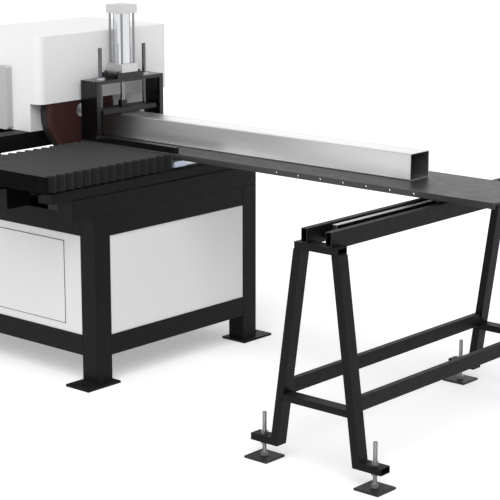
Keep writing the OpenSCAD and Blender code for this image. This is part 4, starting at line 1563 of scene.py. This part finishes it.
@dataclass
class Carriage(SubAssembly):
    """The sliding carriage with its guide blocks, table and fence.

    Attributes:
        ways: Each rail's X and the height of its foot.
        blocks: The two ends in Y of a near block and of a far one.
        gap: Half the width of the seals' opening over the rail.
        seal: Half a seal's width, and its edges' cut.
        seal_y: How far a seal is sunk and how far it stands out.
        seal_z: Height of a seal's foot, of its opening and of its top over the rail's foot.
        nipple: Profile of a grease nipple.
        nipple_at: Its distance from the block's end, and its height over the rail's foot.
        nipple_sides: Faces round it.
        deck: Height of the table's top.
        deck_x: The columns of screws in the carriage plate.
        deck_y: Their rows.
        clamp_foot: Where the clamp stands, so that no screw shows, as its end in X and in Y.
        deck_screw: The plate's screws, and how far their seats are sunk.
        fence_row: The first and the last of the fence's screws in X.
        fence_at: Their Y and the height of their seats.
        fence_screw: The fence's screws.
        fence_count: How many there are.
    """

    ways: tuple[Span, ...] = ((0.110, 0.974), (0.565, 0.974), (2.140, 1.006))
    blocks: tuple[Span, ...] = ((-0.001, 0.081), (0.186, 0.268))
    gap: float = 0.0125
    seal: Span = (0.0225, 0.0008)
    seal_y: Span = (0.001, 0.0045)
    seal_z: Point = (0.0085, 0.0245, 0.0385)
    nipple: Profile = (
        (0.0, 0.0),
        (0.0028, 0.0),
        (0.0028, 0.003),
        (0.0016, 0.004),
        (0.002, 0.0055),
        (0.0012, 0.007),
        (0.0, 0.007),
    )
    nipple_at: Span = (0.004, 0.032)
    nipple_sides: int = 16
    deck: float = 1.070
    deck_x: Point = (0.16, 0.53, 0.64)
    deck_y: tuple[float, ...] = (-0.040, 0.085, 0.230, 0.355)
    clamp_foot: Span = (0.2, 0.2)
    deck_screw: tuple[Screw, float] = (Screw(0.014, 0.0065), 0.0062)
    fence_row: Span = (0.17, 0.63)
    fence_at: Span = (-0.0725, 1.0955)
    fence_screw: Screw = Screw(0.010, 0.005)
    fence_count: int = 5

    def details(self) -> None:
        """Adds the block seals and the deck and fence screws."""
        self.block_seals()
        self.deck_screws()

    def block_seals(self) -> None:
        """Closes both ends of each guide block with a scraper plate and a grease nipple."""
        seals, nipples = Shape(), Shape()
        half, ease = self.seal
        sunk, out = self.seal_y
        foot, roof, top = self.seal_z
        away, up = self.nipple_at
        faces = [(y, way) for ends in self.blocks for y, way in zip(ends, SIGNS)]
        for x, seat in self.ways:
            z = seat + top
            for end, way in faces:
                near, far = sorted((end - way * sunk, end + way * out))
                for side in SIGNS:
                    x0, x1 = sorted((x + side * self.gap, x + side * half))
                    seals.block((x0, near, seat + foot), (x1, far, z), ease)
                seals.block((x - self.gap, near, seat + roof), (x + self.gap, far, z), ease)
                axis = Axis.Y if way > 0.0 else Axis.MINUS_Y
                place = (x, end + way * away, seat + up)
                nipples.turned(place, axis, self.nipple, self.nipple_sides)
        self.add(seals, "block_end_seals", "block_steel", Body.CARRIAGE)
        self.add(nipples, "block_grease_nipples", "hub_aluminium", Body.CARRIAGE)

    def deck_screws(self) -> None:
        """Sets flush screws in the carriage plate and the fence."""
        shape = Shape()
        screw, sunk = self.deck_screw
        foot_x, foot_y = self.clamp_foot
        places = [(x, y) for x in self.deck_x for y in self.deck_y if x > foot_x or y > foot_y]
        shape.screws([(*place, self.deck - sunk) for place in places], Axis.Z, screw)
        row = [(x, *self.fence_at) for x in spaced(*self.fence_row, self.fence_count)]
        shape.screws(row, Axis.Z, self.fence_screw)
        self.add(shape, "deck_screws", "screw_black", Body.CARRIAGE)


@dataclass
class ClampBridge(SubAssembly):
    """The clamp's portal, its air cylinder and the sliding presser.

    Attributes:
        middle: The cylinder's axis in X and Y.
        tie: Distance of a tie rod from it, in X and in Y.
        nut: A tie rod's end, and the height of its seat.
        port: Profile of an air port.
        port_x: Distance of a port's foot from the axis.
        port_z: Height of the two ports.
        mount_screw: The mount block's screws, and the height of their seats.
        mount_at: Their distance from the axis, in X and in Y.
        bush_screw: The bushes' screws, and the height of their seats.
        bush_y: Distance of a bush from the axis.
        bush_ring: Radius of the ring of screws round a bush.
        presser_screw: The presser plate's screws, and the height of their seats.
        presser_ring: Radius of their ring round the axis.
    """

    middle: Span = (0.073, 0.160)
    tie: float = 0.042
    nut: tuple[Screw, float] = (Screw(0.018, 0.0004), 1.7365)
    port: Profile = (
        (0.0, 0.0),
        (0.0085, 0.0),
        (0.0085, 0.006),
        (0.006, 0.008),
        (0.006, 0.016),
        (0.0045, 0.018),
        (0.0, 0.018),
    )
    port_x: float = 0.0555
    port_z: Span = (1.418, 1.715)
    mount_screw: tuple[Screw, float] = (Screw(0.016, 0.0085), 1.3955)
    mount_at: Span = (0.044, 0.074)
    bush_screw: tuple[Screw, float] = (Screw(0.0075, 0.004), 1.3775)
    bush_y: float = 0.156
    bush_ring: float = 0.0185
    presser_screw: tuple[Screw, float] = (Screw(0.011, 0.006), 1.2181)
    presser_ring: float = 0.034

    def details(self) -> None:
        """Adds the cylinder's hardware and the fixing screws."""
        self.cylinder_hardware()
        self.portal_screws()
        self.presser_screws()

    def corners(self, dx: float, dy: float, z: float) -> list[Point]:
        """Four places round the cylinder's axis, at the corners of a rectangle.

        Args:
            dx: Distance of each from the axis in X.
            dy: Distance of each from the axis in Y.
            z: Their height.

        Returns:
            The four places.
        """
        x, y = self.middle
        return [(x + sx * dx, y + sy * dy, z) for sx in SIGNS for sy in SIGNS]

    def circle(self, dy: float, radius: float, z: float) -> list[Point]:
        """Four places on a ring.

        Args:
            dy: Distance of the ring's middle from the cylinder's axis in Y.
            radius: The ring's radius.
            z: Its height.

        Returns:
            The four places.
        """
        x, y = self.middle
        count = 4
        turns = [a + math.pi / count for a in angles(count)]
        return [(x + radius * math.cos(a), y + dy + radius * math.sin(a), z) for a in turns]

    def cylinder_hardware(self) -> None:
        """Puts an end on each tie rod and an air port in each cap."""
        nuts, ports = Shape(), Shape()
        x, y = self.middle
        screw, z = self.nut
        nuts.screws(self.corners(self.tie, self.tie, z), Axis.Z, screw)
        for z in self.port_z:
            ports.turned((x - self.port_x, y, z), Axis.MINUS_X, self.port)
        self.add(ports, "cylinder_ports", "tie_steel", Body.CARRIAGE)
        self.add(nuts, "tie_rod_ends", "tie_steel", Body.CARRIAGE)

    def portal_screws(self) -> None:
        """Fixes the cylinder's mount block and the bushes' flanges."""
        shape = Shape()
        screw, z = self.mount_screw
        shape.screws(self.corners(*self.mount_at, z), Axis.Z, screw)
        screw, z = self.bush_screw
        for side in SIGNS:
            shape.screws(self.circle(side * self.bush_y, self.bush_ring, z), Axis.Z, screw)
        self.add(shape, "portal_screws", "screw_black", Body.CARRIAGE)

    def presser_screws(self) -> None:
        """Fixes the coupling to the presser plate with four screws."""
        shape = Shape()
        screw, z = self.presser_screw
        shape.screws(self.circle(0.0, self.presser_ring, z), Axis.Z, screw)
        self.add(shape, "presser_screws", "screw_black", Body.CLAMP)


@dataclass
class Workpiece(SubAssembly):
    """The polished tube that lies on the table, its end in the clamp."""


@dataclass
class Trestle(SubAssembly):
    """The far support: splayed legs, stretchers, rail beams and levelling feet.

    Attributes:
        middle: The trestle's middle in X.
        frames: The middles of its two end frames in Y.
        inward: Distance of a bead from a frame's middle.
        beams: Distance of a beam's middle from the trestle's.
        bead: Half a bead's length, and its width.
        height: Height of the beads.
    """

    middle: float = 2.140
    frames: Span = (-0.792, 0.658)
    inward: float = 0.0305
    beams: float = 0.0925
    bead: Span = (0.02, 0.0027)
    height: float = 0.9665

    def details(self) -> None:
        """Adds the beads between the beams and the end frames."""
        shape = Shape()
        half, wide = self.bead
        for i, frame in enumerate(self.frames):
            y = frame - math.copysign(self.inward, frame)
            for x in (self.middle - self.beams, self.middle + self.beams):
                ends = ((x - half, y, self.height), (x + half, y, self.height))
                shape.bead(ends, wide, i)
        self.add(shape, "trestle_weld_beads", "trestle_paint", smooth=WELD_SHARP)


# ---- The studio


@dataclass(frozen=True)
class Softbox:
    """A rectangular lamp that lights only some pieces.

    Attributes:
        name: The lamp's name.
        place: Where its middle hangs.
        aim: The direction that it shines in.
        size: Its width and height.
        power: Its power in watts.
        lights: The pieces that it lights.
        unshaded: Whether only those pieces can shade it.
    """

    name: str
    place: Point
    aim: Point
    size: Span
    power: float
    lights: tuple[str, ...]
    unshaded: bool = False


SOFTBOXES: tuple[Softbox, ...] = (
    Softbox(
        "front_softbox",
        (-3.4, -4.7, 2.6),
        (0.66, 0.72, -0.24),
        (5.0, 1.7),
        190.0,
        ("table_plate_eased", "carriage_plate_eased"),
    ),
    Softbox(
        "back_softbox",
        (-2.2, 3.83, 2.31),
        (0.64, -0.74, -0.22),
        (5.0, 2.4),
        26.0,
        ("workpiece_tube",),
    ),
    Softbox(
        "low_strip",
        (0.95, -0.12, 1.012),
        (0.0, 0.93, 0.36),
        (1.65, 0.04),
        1.5,
        ("workpiece_tube",),
        unshaded=True,
    ),
)


@dataclass
class Studio:
    """The pale floor, the soft light and the camera.

    Attributes:
        eye: Where the camera stands.
        look: Its direction.
        lens: Its focal length in millimetres.
        sensor: Its sensor's width in millimetres.
        sight: How far it sees, in metres.
        middle: The floor's middle in X.
        near: Radius of the floor's inner disc.
        reach: Radius of the whole floor.
        sides: Corners round it.
        paint: How much light the floor throws back.
        lift: How much it is brightened where it is seen.
        sky: Strength of the even light.
        sun: Strength of the key lamp.
        soft: How wide the key lamp looks, in degrees.
        key: The direction that it shines in.
    """

    eye: Point = (6.370, -6.062, 2.500)
    look: Point = (-0.641, 0.734, -0.225)
    lens: float = 125.06
    sensor: float = 36.0
    sight: float = 200.0
    middle: float = 1.0
    near: float = 3.0
    reach: float = 60.0
    sides: int = 96
    paint: float = 0.92
    lift: float = 0.34
    sky: float = 0.54
    sun: float = 1.77
    soft: float = 50.0
    key: Point = (-0.445, 0.544, -0.712)

    def build(self) -> None:
        """Sets up everything that isn't part of the machine."""
        self.floor()
        self.world()
        self.lamps()
        self.camera()
        bpy.context.scene.view_settings.view_transform = "Standard"

    def seen(self, tree: Tree) -> Socket:
        """A mask that is 1 for rays from the camera, a mirror or glass.

        Args:
            tree: The tree of the world or of a stage material.

        Returns:
            The mask's socket.
        """
        rays = tree.node("ShaderNodeLightPath").outputs
        either = tree.maths("MAXIMUM", rays["Is Camera Ray"], rays["Is Glossy Ray"])
        return tree.maths("MAXIMUM", either, rays["Is Transmission Ray"])

    def floor(self) -> None:
        """Lays a round pale floor that keeps the machine's soft shadow."""
        shape = Shape()
        rings = []
        for r in (self.near, self.reach):
            turns = angles(self.sides)
            points = (Vector((self.middle + r * math.cos(a), r * math.sin(a), 0.0)) for a in turns)
            rings.append(shape.ring(points))
        shape.skin(rings)
        shape.bm.faces.new(rings[0])
        material = bpy.data.materials.new("pale_floor")
        material.use_nodes = True
        material.node_tree.nodes.clear()
        tree = Tree(material.node_tree)
        matt = tree.node("ShaderNodeBsdfDiffuse", Color=(self.paint, self.paint, self.paint, 1.0))
        lift = tree.node("ShaderNodeEmission", Color=WHITE)
        both = tree.node("ShaderNodeAddShader")
        output = tree.node("ShaderNodeOutputMaterial")
        tree.link(tree.maths("MULTIPLY", self.seen(tree), self.lift), lift.inputs["Strength"])
        tree.link(matt.outputs[0], both.inputs[0])
        tree.link(lift.outputs[0], both.inputs[1])
        tree.link(both.outputs[0], output.inputs[0])
        shape.finish("studio_floor", material)

    def world(self) -> None:
        """Lights the scene evenly and shows white where nothing stands."""
        world = bpy.data.worlds.new("soft_studio")
        bpy.context.scene.world = world
        world.use_nodes = True
        world.node_tree.nodes.clear()
        tree = Tree(world.node_tree)
        light = tree.node("ShaderNodeBackground", Color=WHITE, Strength=self.sky)
        white = tree.node("ShaderNodeBackground", Color=WHITE, Strength=1.0)
        mixed = tree.node("ShaderNodeMixShader")
        output = tree.node("ShaderNodeOutputWorld")
        tree.link(self.seen(tree), mixed.inputs[0])
        tree.link(light.outputs[0], mixed.inputs[1])
        tree.link(white.outputs[0], mixed.inputs[2])
        tree.link(mixed.outputs[0], output.inputs[0])

    def lamps(self) -> None:
        """Adds the key lamp and the softboxes that the bright faces mirror."""
        lamp = bpy.data.lights.new("soft_key", "SUN")
        lamp.energy = self.sun
        lamp.angle = math.radians(self.soft)
        piece = bpy.data.objects.new("soft_key", lamp)
        piece.rotation_euler = Vector(self.key).to_track_quat("-Z", "Y").to_euler()
        bpy.context.scene.collection.objects.link(piece)
        for box in SOFTBOXES:
            self.hang(box)

    def hang(self, box: Softbox) -> None:
        """Hangs one softbox, and lets it light only the pieces that it is meant for.

        Args:
            box: Its place, size and power, and what it lights.
        """
        lamp = bpy.data.lights.new(box.name, "AREA")
        lamp.shape = "RECTANGLE"
        lamp.size, lamp.size_y = box.size
        lamp.energy = box.power
        piece = bpy.data.objects.new(box.name, lamp)
        piece.location = box.place
        piece.rotation_euler = Vector(box.aim).to_track_quat("-Z", "Z").to_euler()
        piece.visible_camera = False
        bpy.context.scene.collection.objects.link(piece)
        lit = bpy.data.collections.new(f"lit_by_{box.name}")
        for name in box.lights:
            lit.objects.link(bpy.data.objects[name])
        piece.light_linking.receiver_collection = lit
        if box.unshaded:
            piece.light_linking.blocker_collection = lit

    def camera(self) -> None:
        """Stands the camera where the photographer's stood."""
        data = bpy.data.cameras.new("viewpoint")
        data.lens = self.lens
        data.sensor_width = self.sensor
        data.clip_end = self.sight
        piece = bpy.data.objects.new("viewpoint", data)
        piece.location = self.eye
        piece.rotation_euler = Vector(self.look).to_track_quat("-Z", "Y").to_euler()
        bpy.context.scene.collection.objects.link(piece)
        bpy.context.scene.camera = piece


def assemblies(shop: Workshop) -> list[SubAssembly]:
    """Lists the sub-assemblies in the order that they are built.

    Args:
        shop: The frame and the finishes.

    Returns:
        Every sub-assembly of the machine.
    """
    base, car, clamp = Body.BASE, Body.CARRIAGE, Body.CLAMP
    return [
        BaseFrame(
            shop,
            eased={
                "foot_plates": ("frame_paint", base, 0.001),
                "base_legs": ("frame_paint", base, 0.003),
                "bed_beams": ("frame_paint", base, 0.003),
                "rail_beams": ("frame_paint", base, 0.002),
                "access_cover": ("panel_paint", base, 0.0012),
            },
            kept={
                "base_rails": "frame_paint",
                "front_panel": "panel_paint",
                "side_panels": "panel_paint",
            },
        ),
        LinearWays(
            shop,
            eased={
                "feed_end_caps": ("dark_castings", base, 0.002),
                "linear_rails": ("rail_steel", base, 0.001),
            },
            kept={"feed_tube": "feed_aluminium"},
        ),
        Bellows(
            shop,
            eased={
                # The end plates are black; their darker painted-shade black also stands in for the
                # shadow inside the bellows.
                "bellows_end_plates": ("painted_shade_black", base, 0.001),
                "bellows_carriage_plates": ("flange_green", car, 0.0008),
            },
        ),
        Bridge(
            shop,
            eased={
                "bridge_beams": ("frame_paint", base, 0.003),
                "bridge_posts": ("frame_paint", base, 0.002),
                "spindle_plate": ("frame_paint", base, 0.001),
            },
            kept={
                "hood_shell": "hood_paint",
                "disc_guard": "guard_paint",
                "control_box": "box_paint",
            },
        ),
        GrindingHead(
            shop,
            eased={
                "backing_disc": ("disc_backing", Body.SPINDLE, 0.0015),
                "abrasive_disc": ("abrasive", Body.SPINDLE, 0.004),
                "hub_cap": ("hub_aluminium", Body.SPINDLE, 0.002),
                "motor_foot": ("motor_paint", base, 0.0015),
                "bearing_housings": ("housing_iron", base, 0.002),
            },
            kept={
                "spindle_bearings": "bearing_steel",
                "motor_body": "motor_paint",
                "drive_belt": "belt_rubber",
                "spindle_shaft": "bearing_steel",
                "spindle_pulley": "dark_castings",
                "motor_shaft": "bearing_steel",
                "motor_pulley": "dark_castings",
            },
        ),
        Carriage(
            shop,
            eased={
                "guide_blocks": ("block_steel", car, 0.0012),
                "block_risers": ("plate_black", car, 0.001),
                "carriage_plate": ("table_paint", car, 0.0012),
                "table_plate": ("table_paint", car, 0.0008),
                "fence_bar": ("plate_black", car, 0.001),
                "feed_slider": ("dark_castings", car, 0.0015),
            },
        ),
        ClampBridge(
            shop,
            eased={
                "clamp_legs": ("plate_black", car, 0.001),
                "clamp_top_plate": ("plate_black", car, 0.001),
                "cylinder_mount": ("plate_black", car, 0.001),
                "clamp_cylinder_caps": ("cap_aluminium", car, 0.002),
                "presser_plate": ("presser_steel", clamp, 0.0012),
                "presser_pad": ("pad_rubber", clamp, 0.0008),
                "rod_coupling": ("plate_black", clamp, 0.0015),
            },
            kept={
                "clamp_cylinder_barrel": "barrel_aluminium",
                "clamp_tie_rods": "tie_steel",
                "guide_bushes": "hub_aluminium",
                "clamp_screws": "screw_black",
                "clamp_rod": "tie_steel",
                "guide_rods": "chrome_rod",
            },
        ),
        Workpiece(shop, kept={"workpiece_tube": "work_stainless"}),
        Trestle(
            shop,
            eased={
                "trestle_legs": ("trestle_paint", base, 0.0025),
                "trestle_crossbars": ("trestle_paint", base, 0.0025),
                "trestle_stretchers": ("trestle_paint", base, 0.0025),
                "trestle_beams": ("trestle_paint", base, 0.0025),
                "trestle_rail_bar": ("trestle_paint", base, 0.0015),
                "foot_pads": ("foot_steel", base, 0.0012),
            },
            kept={"levelling_screws": "zinc_steel"},
        ),
    ]


def main() -> None:
    """Builds the machine and the studio."""
    logging.basicConfig(level=logging.INFO, format="%(name)s: %(message)s")
    for old in list(bpy.data.objects):
        bpy.data.objects.remove(old, do_unlink=True)
    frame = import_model()
    shop = Workshop(frame["nodes"], FinishBook())
    for part in assemblies(shop):
        part.build()
        LOG.info("%s is done", type(part).__name__)
    Studio().build()
    bpy.context.view_layer.update()


if __name__ == "__main__":
    main()
